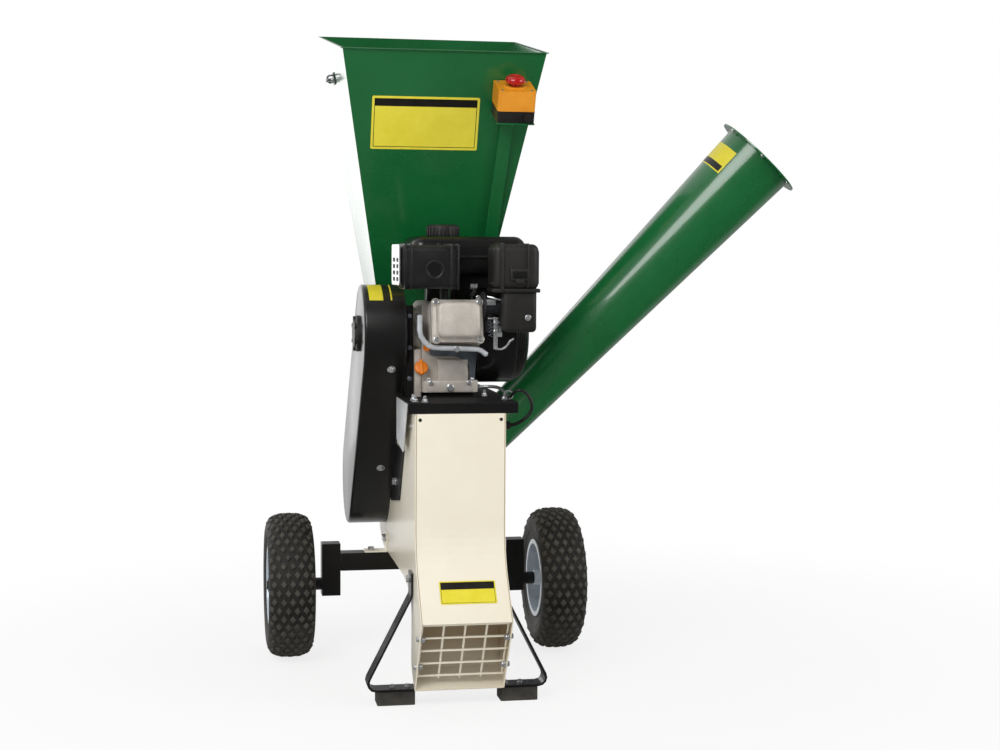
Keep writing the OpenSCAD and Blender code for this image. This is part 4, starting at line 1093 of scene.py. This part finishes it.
@dataclass
class Chute:
    """The blank label that is bent round the branch chute."""

    foot: Point = (92.0, -70.0, 468.0)
    rise: float = 46.3
    turned_by: float = 13.0
    length: float = 912.0
    foot_radius: float = 47.5
    mouth_radius: float = 85.5
    label_from: float = 818.0
    label_to: float = 876.0
    label_band: float = 17.0
    label_edge: float = 3.0
    label_start: float = 30.0
    label_sweep: float = 66.0
    label_tuck: float = 3.0
    label_lift: float = 0.3
    band_lift: float = 0.45

    def place(self) -> Matrix:
        """Gives the chute's place: +Z along it and +X towards the front."""
        rise, swing = math.radians(self.rise), math.radians(self.turned_by)
        along = Vector((math.cos(rise) * math.cos(swing), -math.cos(rise) * math.sin(swing), math.sin(rise)))
        front = Vector((-0.22, -1.0, 0.0))
        front = (front - along * along.dot(front)).normalized()
        turn_in = Matrix((front, along.cross(front), along)).transposed().to_4x4()
        return moved(*self.foot) @ turn_in

    def radius(self, along: float) -> float:
        """Gives the tube's outer radius at a length along it."""
        return self.foot_radius + (self.mouth_radius - self.foot_radius) * along / self.length

    def build(self) -> None:
        """Lays the label on the tube's upper side."""
        label = Piece("chute_label")
        low, tuck = self.label_from, self.label_tuck
        whole = self._film(low, self.label_to, self.label_start, self.label_sweep, self.label_lift)
        band = self._film(low + self.label_edge, low + self.label_band, self.label_start + tuck,
                          self.label_sweep - 2 * tuck, self.band_lift)
        label.add(whole, LABEL_YELLOW, self.place())
        label.add(band, LABEL_BLACK, self.place())
        label.set_in()

    def _film(self, low: float, high: float, start: float, sweep: float, lift: float) -> Shape:
        """Bends a film round the tube.

        Args:
            low: Where it starts along the tube.
            high: Where it ends along the tube.
            start: Its near edge from the front, in degrees.
            sweep: Its width round the tube, in degrees.
            lift: Its height over the tube.

        Returns:
            The shape, in the chute's own place.
        """
        angle = math.radians(-start)
        ends = []
        for along in (low, high):
            radius = self.radius(along) + lift
            ends.append((radius * math.cos(angle), radius * math.sin(angle), along))
        return film(ends, Axis.Z, sweep, 14)


@dataclass
class ValveCover:
    """Cast valve cover with a drafted dome and four corner ears."""

    crank: Pair = (-255.0, 742.0)
    tilt: float = 78.0
    head: float = 152.0
    bore_x: float = 5.0
    width: float = 102.0
    height: float = 88.0
    flange: float = 5.0
    dome: float = 30.0
    bend: float = 0.16
    ear_inset: float = 6.0

    def build(self) -> None:
        """Casts the cover's flange, dome and ears."""
        at = moved(0, *self.crank) @ turn(self.tilt, Axis.X) @ moved(self.bore_x, 0, self.head)
        cover = Piece("valve_cover_casting")
        cover.add(round_edges(drawn(rounded(self.width, self.height, 12.0), self.flange), 1.2, 2), CAST, at)
        cover.add(self._dome(), CAST, at)
        reach = Vector((self.width / 2 - self.ear_inset, self.height / 2 - self.ear_inset))
        for x, y in CORNERS:
            ear = turned([(0, 0), (9, 0), (9, 6), (8, 7), (0, 7)], steps=24)
            cover.add(ear, CAST, at @ moved(x * reach.x, y * reach.y, 0))
        cover.set_in(replaces=("valve_cover",))

    def _dome(self) -> Shape:
        """Draws the dome, drafted and rounded, with a flat face that bends a little along its middle."""
        shape = drawn(rounded(self.width - 12, self.height - 14, 14.0, 6), self.dome)
        top = [v for v in shape.verts if v.co.z > self.dome - 0.01]
        bmesh.ops.scale(shape, vec=(0.96, 0.95, 1.0), verts=top)
        round_edges(shape, 6.0, 4, 50.0)
        bmesh.ops.bisect_plane(shape, geom=[*shape.verts, *shape.edges, *shape.faces], plane_co=(0, -6, 0),
                               plane_no=(0, 1, 0))
        for vert in shape.verts:
            if vert.co.y < -6 and vert.co.z > self.dome - 8:
                vert.co.z += self.bend * (vert.co.y + 6)
        return shape


@dataclass
class Muffler:
    """Black muffler: a rounded box with folded bands and a round outlet in its front."""

    low: Point = (-117.0, -441.0, 840.0)
    high: Point = (5.0, -341.0, 928.0)
    bands: tuple[float, ...] = (-109.0, -97.0, -16.0, -2.0)
    outlet: Pair = (-47.0, 878.0)
    pipe: Point = (-20.0, -385.0, 813.0)
    lid_bolts: Pair = (-78.0, -34.0)
    lid_bolts_y: float = -404.0

    def build(self) -> None:
        """Folds the box, its bands and its outlet."""
        piece = Piece("muffler_box")
        piece.add(block((self.low[0] + 0.4, *self.low[1:]), self.high, 13.0, 5), HEAT_BLACK)
        for x in self.bands:
            band = block((x, self.low[1] - 3, self.low[2] - 2), (x + 5, self.high[1] + 2, self.high[2] + 3), 2.4, 3)
            piece.add(band, HEAT_BLACK)
        ring = turned([(13, 0), (19.5, 0), (19.5, 1.2), (18, 2.6), (15.5, 2.6), (13.6, 1.4), (13, 0)], Axis.Y, 36)
        piece.add(ring, HEAT_BLACK, moved(self.outlet[0], self.low[1], self.outlet[1]))
        # The dull black disc in the outlet's ring is painted shade for the pipe's dark inside.
        outlet_shade_disc = turned([(0, 0.2), (14.4, 0.2), (14.4, -0.4), (0, -0.4)], Axis.Y, 36)
        piece.add(outlet_shade_disc, DECK, moved(self.outlet[0], self.low[1] - 0.1, self.outlet[1]))
        piece.add(turned([(0, 0), (8.5, 0), (8.5, 29), (0, 29)], steps=20), HEAT_BLACK, moved(*self.pipe))
        for x in self.lid_bolts:
            piece.add(hex_bolt(4.0), HEAT_BLACK, moved(x, self.lid_bolts_y, self.high[2] - 0.3))
        piece.set_in(replaces=("muffler",))


@dataclass
class AirCleaner:
    """Moulded air cleaner: a cover with a strap and a latch over a case."""

    cover_low: Point = (72.0, -445.0, 838.0)
    cover_high: Point = (167.0, -363.0, 931.0)
    case_low: Point = (92.0, -441.0, 752.0)
    case_high: Point = (163.0, -363.0, 844.0)

    def build(self) -> None:
        """Moulds the cover, the case, the strap and the latch."""
        piece = Piece("air_cleaner_case")
        piece.add(block(self.cover_low, self.cover_high, 14.0, 5), PLASTIC)
        piece.add(block(self.case_low, self.case_high, 9.0, 4), PLASTIC)
        left, front, low = self.cover_low
        right, back, high = self.cover_high
        straps = (
            ((left - 0.5, front - 1.5, low - 5), (right + 1.5, back + 1, low + 3), 2.2, 3, PLASTIC),
            ((left + 14, front - 4, low - 4), (left + 22, back + 2, high + 3), 3.4, 4, PLASTIC),
            ((right - 26, front - 2.5, low + 4), (right - 22, back + 1, high + 1.5), 1.8, 3, PLASTIC),
            ((left + 34, front - 3, low + 18), (left + 74, front + 4, low + 44), 2.4, 3, PLASTIC),
            # The dull black panel in the latch's frame is painted shade for the latch's recess.
            ((left + 39, front - 4.2, low + 24), (left + 69, front, low + 38), 1.6, 3, DECK),
            ((left + 46, front - 3.4, low + 12), (left + 62, front, low + 22), 1.4, 2, PLASTIC),
        )
        for near, far, bevel, segments, finish in straps:
            piece.add(block(near, far, bevel, segments), finish)
        piece.add(hex_bolt(6), ZINC, to_front(144, self.case_low[1], 782))
        piece.add(turned([(0, -8), (3, -8), (3, 0), (0, 0)], Axis.X, 14), ZINC, moved(92, -391, 768))
        for step in range(3):
            near = front + 14 + 22 * step
            piece.add(block((right - 4.5, near, low + 12), (right + 1.4, near + 8, high - 14), 1.6, 2), PLASTIC)
        piece.set_in(replaces=("air_cleaner",))


@dataclass
class FuelTank:
    """Pressed fuel tank in two halves with a welded seam, a filler neck and a ribbed cap."""

    low: Point = (-82.0, -333.0, 864.0)
    high: Point = (168.0, -139.0, 947.0)
    cap: Pair = (0.0, -231.0)
    seam: float = 4.0
    seam_z: float = 902.0
    ribs: int = 24

    def build(self) -> None:
        """Presses the tank and turns its cap."""
        tank = Piece("fuel_tank_shell")
        low, high, inset = Vector(self.low), Vector(self.high), Vector((self.seam, self.seam, 0.0))
        size, middle = high - low, (low + high) / 2
        tank.add(block(low + inset, high - inset, 24.0, 6), BLACK)
        flange = round_edges(drawn(rounded(size.x, size.y, 27.0, 8), self.seam), 1.4, 2)
        tank.add(flange, BLACK, moved(middle.x, middle.y, self.seam_z))
        neck = turned([(0, 0), (26, 0), (25, 2), (23, 3), (22.6, 7.6), (0, 7.6)], steps=36)
        tank.add(neck, BLACK, moved(*self.cap, self.high[2] - 0.6))
        for x in (-40, 10):
            tank.add(block((x, -275, 810), (x + 28, -235, 866), 2.0, 2), BLACK)
        for low, high in (((22, -303, 812), (56, -295, 866)), ((54, -303, 839), (112, -295, 866))):
            tank.add(block(low, high, 2.0, 2), DECK)
        tank.set_in(replaces=("fuel_tank",))
        cap = Piece("fuel_cap_cover").add(self._cap(), PLASTIC, moved(*self.cap, self.high[2]))
        cap.set_in("fuel_cap", ("fuel_cap",))

    def _cap(self) -> Shape:
        """Turns the cap and sets its grip ribs round it."""
        shape = turned([
            (23.4, 0.4), (33, 0.4), (33.6, 1.2), (33.6, 19), (33, 21.4), (31, 23.6), (27, 24.9), (22, 24.9),
            (20, 24), (0, 23.6), (0, 8.4), (23.4, 8.4), (23.4, 0.4),
        ], steps=48)
        for step in range(self.ribs):
            rib = block((32.5, -1.9, 1.4), (35.4, 1.9, 20.4), 0.9, 2)
            join(shape, rib, turn(360 / self.ribs * step, Axis.Z))
        return shape


@dataclass
class Crankcase:
    """Parts on the crankcase's front: the lower casting, the air baffle, the filler and its bolts."""

    front: float = -339.0
    filler: Point = (-61.0, -333.0, 670.0)
    filler_tilt: float = 65.0
    lip_y: float = -402.0
    lip_radius: float = 5.4

    def build(self) -> None:
        """Casts the front, folds the baffle and turns the filler's cap."""
        case = Piece("crankcase_front")
        case.add(self._boss(), CAST, moved(0, self.front + 8, 0))
        case.add(block((-51, -347.8, 623.6), (49, self.front + 6, 648.5), 3.0, 3), CAST)
        case.add(self._baffle(), DARK_STEEL, moved(0, self.front + 8, 0))
        for x, z, size in ((-41, 643, 5.0), (39, 643, 5.0), (-1, 633, 7.5)):
            case.add(hex_bolt(size), ZINC, to_front(x, -347.4, z))
        case.add(turned([(0, 0), (7.5, 0), (7.5, 7), (6, 9), (0, 9)], Axis.Y, 20), ORANGE, moved(-49, -337, 716))
        case.set_in()
        cap = Piece("oil_cap_grip")
        cap.add(self._cap(), ORANGE, moved(*self.filler) @ turn(self.filler_tilt, Axis.X))
        cap.set_in("oil_cap", ("oil_cap",))
        self._lip()
        self._bolts()

    @staticmethod
    def _boss() -> Shape:
        """Draws the lower casting, round at its upper right."""
        bend = Crankcase._quarter(32, 28, 10)
        outline = [(-26, 648), (37, 648), (37, 664), *bend, (-26, 692)]
        return round_edges(drawn(outline, 13.0, Axis.Y), 2.4, 3, 50.0)

    @staticmethod
    def _quarter(wide: float, high: float, start: int) -> list[Pair]:
        """Gives the points of a quarter bend round the casting's upper right, from a start angle in degrees."""
        angles = [math.radians(angle) for angle in range(start, 91, 10)]
        return [(5 + wide * math.cos(angle), 664 + high * math.sin(angle)) for angle in angles]

    @staticmethod
    def _baffle() -> Shape:
        """Draws the bowed baffle between the shroud's strip and the casting."""
        outline = [(-46, 716), (50, 714), (64, 706), (58, 692), (54, 672), (53, 646), (41, 646)]
        outline += [*Crankcase._quarter(36, 34, 0), (-28, 698), (-40, 700)]
        return round_edges(drawn(outline, 6.0, Axis.Y), 1.8, 2, 50.0)

    @staticmethod
    def _cap() -> Shape:
        """Turns the filler's cap with a grip bar across it and ribs round it."""
        shape = turned([(0, 8.3), (13, 8.3), (14, 9.4), (14, 14.6), (12.6, 16.4), (10, 17.2), (0, 17.2)], steps=32)
        join(shape, block((-3, -16.6, 8.6), (3, 16.6, 19.6), 1.6, 3))
        for step in range(12):
            join(shape, block((12.6, -1.2, 9), (14.6, 1.2, 15), 0.5, 1), turn(30 * step + 15, Axis.Z))
        return shape

    def _lip(self) -> None:
        """Rolls the bright front edge of the cylinder's shroud."""
        edge = ((-72, 786), (-72, 756), (-70, 744), (-63, 733), (-54, 724), (-44, 720), (-20, 719), (30, 717),
                (48, 716), (56, 712.5), (66, 705))
        lip = Piece("shroud_lip")
        lip.add(bar([(x, self.lip_y, z) for x, z in edge], self.lip_radius, 12), BRIGHT)
        lip.add(hex_bolt(6.5), ZINC, to_front(4, self.lip_y - 4.8, 717))
        lip.set_in()

    @staticmethod
    def _bolts() -> None:
        """Sets the heads of the valve cover and of the engine's feet."""
        bolts = Piece("engine_heads")
        cover = moved(0, -255, 742) @ turn(78, Axis.X) @ moved(5, 0, 159)
        for x in (-1, 1):
            for y in (-1, 1):
                bolts.add(hex_bolt(5.5), ZINC, cover @ moved(45 * x, 38 * y, -0.2))
            bolts.add(hex_bolt(6), ZINC, moved(46 * x, -341, 648))
        bolts.set_in(replaces=("engine_bolts",))


@dataclass
class Controls:
    """Small controls: the carburettor's linkage, the cable's clip and the fittings on the deck."""

    deck_top: float = 614.0

    def build(self) -> None:
        """Sets the linkage, the clip and the deck's bolts."""
        self._linkage()
        self._clip()
        self._deck()

    @staticmethod
    def _linkage() -> None:
        """Hangs the bright bracket, the link rod and the spring beside the carburettor."""
        links = Piece("carburettor_linkage")
        links.add(block((78, -413.6, 716), (87, -411.1, 782), 1.0, 2), ZINC)
        links.add(block((66, -416, 778), (87.4, -410, 781), 1.0, 2), ZINC)
        links.add(hex_bolt(4.5), ZINC, to_front(82.5, -413.6, 752))
        links.add(hex_bolt(4), ZINC, to_front(82.5, -413.6, 770))
        rods = (
            ([(66, -408, 824), (76, -412, 822), (86, -416, 818), (98, -418, 818)], 2.0),
            ([(82, -412, 719), (86, -425, 717), (94, -433, 718), (103, -434, 725), (108, -434, 735),
              (116, -434, 739)], 2.2),
        )
        for path, radius in rods:
            links.add(bar(path, radius, 8, True), ZINC)
        spring = [(72 + 4 * math.cos(t), -414 + 4 * math.sin(t), 742 + 1.1 * t) for t in (0.5 * k for k in range(60))]
        links.add(bar(spring, 0.8, 6), DARK_STEEL)
        links.add(block((62, -408, 806), (84, -405, 818), 1.0, 2), ZINC)
        links.add(hex_bolt(4.5), ZINC, to_front(48, -404, 822))
        links.set_in()

    def _clip(self) -> None:
        """Bends the clip that holds the cable to the deck, and the stud at its engine end."""
        clip = Piece("cable_clip")
        ring = turned([(8.0, -4), (9.6, -4), (9.6, 4), (8.0, 4), (8.0, -4)], Axis.Y, 28)
        clip.add(ring, ZINC, moved(109, -420, self.deck_top + 9.6) @ turn(-26, Axis.Z))
        clip.add(block((94, -426, self.deck_top), (110, -414, self.deck_top + 1.6), 0.6, 1), ZINC)
        clip.add(hex_bolt(5), ZINC, moved(99, -420, self.deck_top + 1.4))
        clip.add(stud(5, 8, Axis.X, 16), ZINC, moved(58, -330, 633))
        clip.set_in()

    def _deck(self) -> None:
        """Bolts the deck down, with the ends of the threads above the heads."""
        heads = Piece("deck_heads")
        for x, y in ((-88, -452), (-70, -466), (-88, -424), (74, -330)):
            heads.add(hex_bolt(6.5), ZINC, moved(x, y, self.deck_top))
            heads.add(stud(3.2, 13), ZINC, moved(x, y, self.deck_top))
        heads.set_in()


@dataclass
class SmallTrim:
    """Small fittings of the body: the front panel's rivets, a side bolt, the guard's stay and the starter's ribs."""

    crank: Pair = (-255.0, 742.0)
    front: float = -485.0
    rivets: tuple[Pair, ...] = ((-82.0, 580.0), (82.0, 580.0))
    side_bolt: Point = (-92.0, -436.0, 563.5)
    stay_low: Point = (-91.8, -336.0, 614.4)
    stay_high: Point = (-76.6, -333.6, 804.0)
    stay_bolts: tuple[float, ...] = (652.0, 716.0, 782.0)
    rib_start: Pair = (141.5, 103.0)
    rib_step: Pair = (5.0, -2.9)
    rib_section: tuple[Pair, ...] = ((-2.2, -1.1), (0.6, -1.1), (0.9, -0.6), (0.9, 0.6), (0.6, 1.1), (-2.2, 1.1),
                                     (-2.2, -1.1))
    ribs: int = 4

    def build(self) -> None:
        """Sets the rivets and the side bolt, folds the stay and turns the ribs."""
        heads = Piece("front_rivets")
        for x, z in self.rivets:
            heads.add(dome_bolt(3.2), DECK, to_front(x, self.front, z))
        heads.add(hex_bolt(5.0), ZINC, moved(*self.side_bolt) @ facing((-1, 0, 0)))
        heads.set_in()
        self._stay()
        ribs = Piece("recoil_ribs")
        for k in range(self.ribs):
            x, radius = (start + k * step for start, step in zip(self.rib_start, self.rib_step))
            ring = [(radius + out, x + side) for out, side in self.rib_section]
            ribs.add(turned(ring, Axis.X, 72), BLACK, moved(0, *self.crank))
        ribs.set_in()

    def _stay(self) -> None:
        """Folds the black stay that ties the guard's back plate to the engine."""
        low, high = self.stay_low, self.stay_high
        stay = Piece("guard_stay")
        stay.add(block(low, high, 0.8, 2), DECK)
        stay.add(block(low, (low[0] + 2.4, low[1] + 23, high[2]), 0.8, 2), DECK)
        for z in self.stay_bolts:
            stay.add(hex_bolt(4.5), DARK_STEEL, to_front((low[0] + high[0]) / 2, low[1], z))
        stay.set_in()


@dataclass
class Coating:
    """Finishes of the solids that stay in view, and the easing of their edges."""

    ease: float = 0.0012
    weld: float = 0.00002
    ease_over: float = 40.0

    def coats(self) -> dict[Finish, tuple[str, ...]]:
        """Gives the nodes of each finish."""
        return {
            # Painted shade on the inner faces of the side plates and the duct floor.
            SHADED_CREAM: ("side_plate_left", "side_plate_right", "duct_floor"),
            CREAM: ("front_panel", "drum_wrap", "outlet_grille", "saddle_brackets"),
            DECK: ("engine_deck",),
            BLACK: ("axle_beam", "drop_brackets", "stand", "belt_guard", "guard_backplate", "spindles",
                    "fan_cover", "recoil_cover"),
            GREEN: ("hopper", "estop_bracket", "cable_channel", "chute", "chute_flange"),
            GREY: ("deck_bracket",),
            ZINC: ("body_bolts", "foot_bolts", "chute_screws", "engine_bolts", "cylinder_shroud",
                   "muffler_guard", "throttle_lever", "choke_lever"),
            ROTOR: ("rotor_shaft", "rotor_drum", "crankshaft"),
            IRON: ("carburettor", "rotor_bearings", "driven_pulley", "drive_pulley", "flywheel"),
            CAST: ("crankcase", "engine_cylinder", "valve_cover"),
            HEAT_BLACK: ("muffler",),
            PLASTIC: ("fuel_tank", "fuel_cap", "air_cleaner", "guard_cap", "estop_base", "starter_handle"),
            YELLOW: ("estop_cover",),
            RED: ("estop_button",),
            ORANGE: ("oil_cap",),
            RUBBER: ("foot_left", "foot_right", "v_belt"),
            CABLE: ("kill_cable",),
            TYRE: ("tyre_left", "tyre_right"),
            RIM: ("rim_left", "rim_right"),
        }

    def eased(self) -> tuple[str, ...]:
        """Names the nodes whose sheet or cast edges catch the light."""
        return ("side_plate_left", "side_plate_right", "engine_deck", "axle_beam", "drop_brackets", "stand",
                "saddle_brackets", "deck_bracket", "foot_left", "foot_right", "crankcase", "engine_cylinder",
                "estop_bracket", "cable_channel", "cylinder_shroud", "starter_handle", "rim_left", "rim_right")

    def apply(self) -> None:
        """Gives every solid its material and eases the edges of some."""
        for finish, nodes in self.coats().items():
            for node in nodes:
                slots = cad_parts[node].data.materials
                slots.clear()
                slots.append(finish.material())
        for node in self.eased():
            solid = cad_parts[node]
            weld = solid.modifiers.new("weld", "WELD")
            weld.merge_threshold = self.weld
            ease = solid.modifiers.new("ease", "BEVEL")
            ease.width = self.ease
            ease.segments = 2
            ease.limit_method = "ANGLE"
            ease.angle_limit = math.radians(self.ease_over)
            ease.use_clamp_overlap = True
        LOG.info("coated %d solids", len(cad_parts))


@dataclass(frozen=True)
class Softbox:
    """A soft rectangular lamp that the camera doesn't see."""

    name: str
    place: Point
    aim: Point
    size: Pair
    power: float

    def hang(self) -> None:
        """Hangs the lamp, facing its aim."""
        data = bpy.data.lights.new(self.name, "AREA")
        data.shape = "RECTANGLE"
        data.size, data.size_y = self.size
        data.energy = self.power
        lamp = bpy.data.objects.new(self.name, data)
        lamp.location = self.place
        lamp.rotation_mode = "QUATERNION"
        lamp.rotation_quaternion = (Vector(self.aim) - Vector(self.place)).to_track_quat("-Z", "Y")
        lamp.visible_camera = False
        bpy.context.scene.collection.objects.link(lamp)


@dataclass
class Studio:
    """White studio: a pale floor, soft lamps and the camera at the photograph's angle."""

    camera_place: Point = (-543.3, -3874.9, 918.0)
    camera_turn: Point = (85.87, 0.0, -10.4)
    camera_roll: float = 0.35
    lens: float = 62.1
    sensor: float = 36.0
    floor_half: float = 8.0
    floor_drop: float = 0.0005
    floor_grey: float = 0.86
    floor_white: float = 0.8
    floor_fade: Pair = (0.5, 1.9)
    floor_depth: Pair = (-0.1, 0.8)
    floor_side: Pair = (-0.1, 0.6)
    world_depth: Pair = (-0.55, 0.25)
    world_side: Pair = (-0.05, 0.12)
    ambient: float = 0.5
    dim: float = 0.12
    bright: float = 0.86
    right_share: float = 0.35
    lamps: tuple[Softbox, ...] = (
        Softbox("key softbox", (-2.2, -3.2, 3.2), (-0.1, -0.1, 0.7), (2.2, 2.2), 95.0),
        Softbox("side softbox", (3.2, -2.0, 2.2), (0.0, 0.0, 0.7), (1.8, 2.2), 45.0),
        Softbox("back softbox", (-2.0, 2.9, 1.3), (-0.2, 0.0, 0.8), (3.2, 2.6), 20.0),
    )

    def build(self) -> None:
        """Sets up the camera, the floor, the world and the lamps."""
        self._camera()
        self._floor()
        self._world()
        for lamp in self.lamps:
            lamp.hang()
        bpy.context.scene.view_settings.view_transform = "Standard"

    def _camera(self) -> None:
        """Stands the camera where the photograph was taken."""
        data = bpy.data.cameras.new("camera")
        data.lens = self.lens
        data.sensor_width = self.sensor
        data.sensor_fit = "HORIZONTAL"
        camera = bpy.data.objects.new("camera", data)
        camera.location = TO_METRES @ Vector(self.camera_place)
        aim = Euler([math.radians(angle) for angle in self.camera_turn]).to_matrix()
        camera.rotation_euler = (aim @ Matrix.Rotation(math.radians(self.camera_roll), 3, "Z")).to_euler()
        bpy.context.scene.collection.objects.link(camera)
        bpy.context.scene.camera = camera

    def _mirrored(self, tree: Tree, place: Socket, depth: Pair, side: Pair) -> Socket:
        """Gives how white gloss mirrors the surroundings: more behind the object and less to its right.

        Args:
            tree: The node tree.
            place: The point or direction that is mirrored.
            depth: Where it goes from dim to bright, along Y.
            side: Where it goes down to the right side's share, along X.

        Returns:
            The share of white.
        """
        smooth = {"interpolation_type": "SMOOTHSTEP"}
        behind = spread(tree, axis_of(tree, place, "Y"), depth, (self.dim, self.bright), **smooth)
        left = spread(tree, axis_of(tree, place, "X"), side, (1.0, self.right_share), **smooth)
        return reckon(tree, "MULTIPLY", behind, left)

    @staticmethod
    def _shown(tree: Tree, direct: Socket | float, mirrored: Socket | float) -> Socket:
        """Gives how white the surroundings show: to the camera, and off gloss or through glass.

        Args:
            tree: The node tree.
            direct: Share for rays from the camera.
            mirrored: Share for rays off gloss or through glass.

        Returns:
            The share of white.
        """
        path = add_node(tree, "LightPath", {}).outputs
        bent = reckon(tree, "MAXIMUM", path["Is Glossy Ray"], path["Is Transmission Ray"])
        seen = reckon(tree, "MULTIPLY", path["Is Camera Ray"], direct)
        return reckon(tree, "MULTIPLY_ADD", bent, mirrored, seen)

    def _floor(self) -> None:
        """Lays the floor, white to the camera with the object's shadow faintly on it."""
        shape = bmesh.new()
        bmesh.ops.create_grid(shape, x_segments=1, y_segments=1, size=self.floor_half)
        mesh = bpy.data.meshes.new("floor")
        shape.to_mesh(mesh)
        shape.free()
        floor = bpy.data.objects.new("floor", mesh)
        floor.location.z = -self.floor_drop
        bpy.context.scene.collection.objects.link(floor)
        material = bpy.data.materials.new("pale floor")
        material.use_nodes = True
        tree = material.node_tree
        lit = tree.nodes["Principled BSDF"]
        fill(tree, lit, {"Base Color": (*[self.floor_grey] * 3, 1.0), "Roughness": 0.9})
        place = add_node(tree, "TexCoord", {}).outputs["Object"]
        away = add_node(tree, "VectorMath", {0: place}, operation="LENGTH").outputs["Value"]
        direct = spread(tree, away, self.floor_fade, (self.floor_white, 1.0), interpolation_type="SMOOTHSTEP")
        mirrored = self._mirrored(tree, place, self.floor_depth, self.floor_side)
        white = add_node(tree, "Emission", {"Strength": self._shown(tree, 1.0, mirrored)})
        mix = {"Fac": self._shown(tree, direct, 1.0), 1: lit.outputs["BSDF"], 2: white.outputs["Emission"]}
        shown = add_node(tree, "MixShader", mix).outputs["Shader"]
        fill(tree, tree.nodes["Material Output"], {"Surface": shown})
        mesh.materials.append(material)

    def _world(self) -> None:
        """Makes the surroundings white to the camera, dimmer where gloss mirrors the room in front."""
        world = bpy.data.worlds.new("studio")
        bpy.context.scene.world = world
        world.use_nodes = True
        tree = world.node_tree
        soft = tree.nodes["Background"]
        plain = {"Color": (1.0, 1.0, 1.0, 1.0)}
        fill(tree, soft, {**plain, "Strength": self.ambient})
        place = add_node(tree, "TexCoord", {}).outputs["Generated"]
        mirrored = self._mirrored(tree, place, self.world_depth, self.world_side)
        white = add_node(tree, "Background", {**plain, "Strength": self._shown(tree, 1.0, mirrored)})
        diffuse = add_node(tree, "LightPath", {}).outputs["Is Diffuse Ray"]
        mix = {"Fac": diffuse, 1: white.outputs["Background"], 2: soft.outputs["Background"]}
        shown = add_node(tree, "MixShader", mix).outputs["Shader"]
        fill(tree, tree.nodes["World Output"], {"Surface": shown})


def main() -> None:
    """Dresses the machine and lights it."""
    logging.basicConfig(level=logging.INFO, format="%(name)s: %(message)s")
    Studio().build()
    Coating().apply()
    for side in Side:
        RoadWheel(side).build()
    for part in (OutletGrille(), BeltGuard(), Hopper(), Chute(), ValveCover(), Muffler(), AirCleaner(), FuelTank(),
                 Crankcase(), Controls(), SmallTrim()):
        part.build()
    front_panel = moved(*FRONT_LABEL) @ turn(FRONT_SLOPE, Axis.X) @ Axis.Y.frame()
    Label("front_label", front_panel, 113.0, 51.0, 16.0, rule=0.8, margin=2.4).build()


if __name__ == "__main__":
    main()
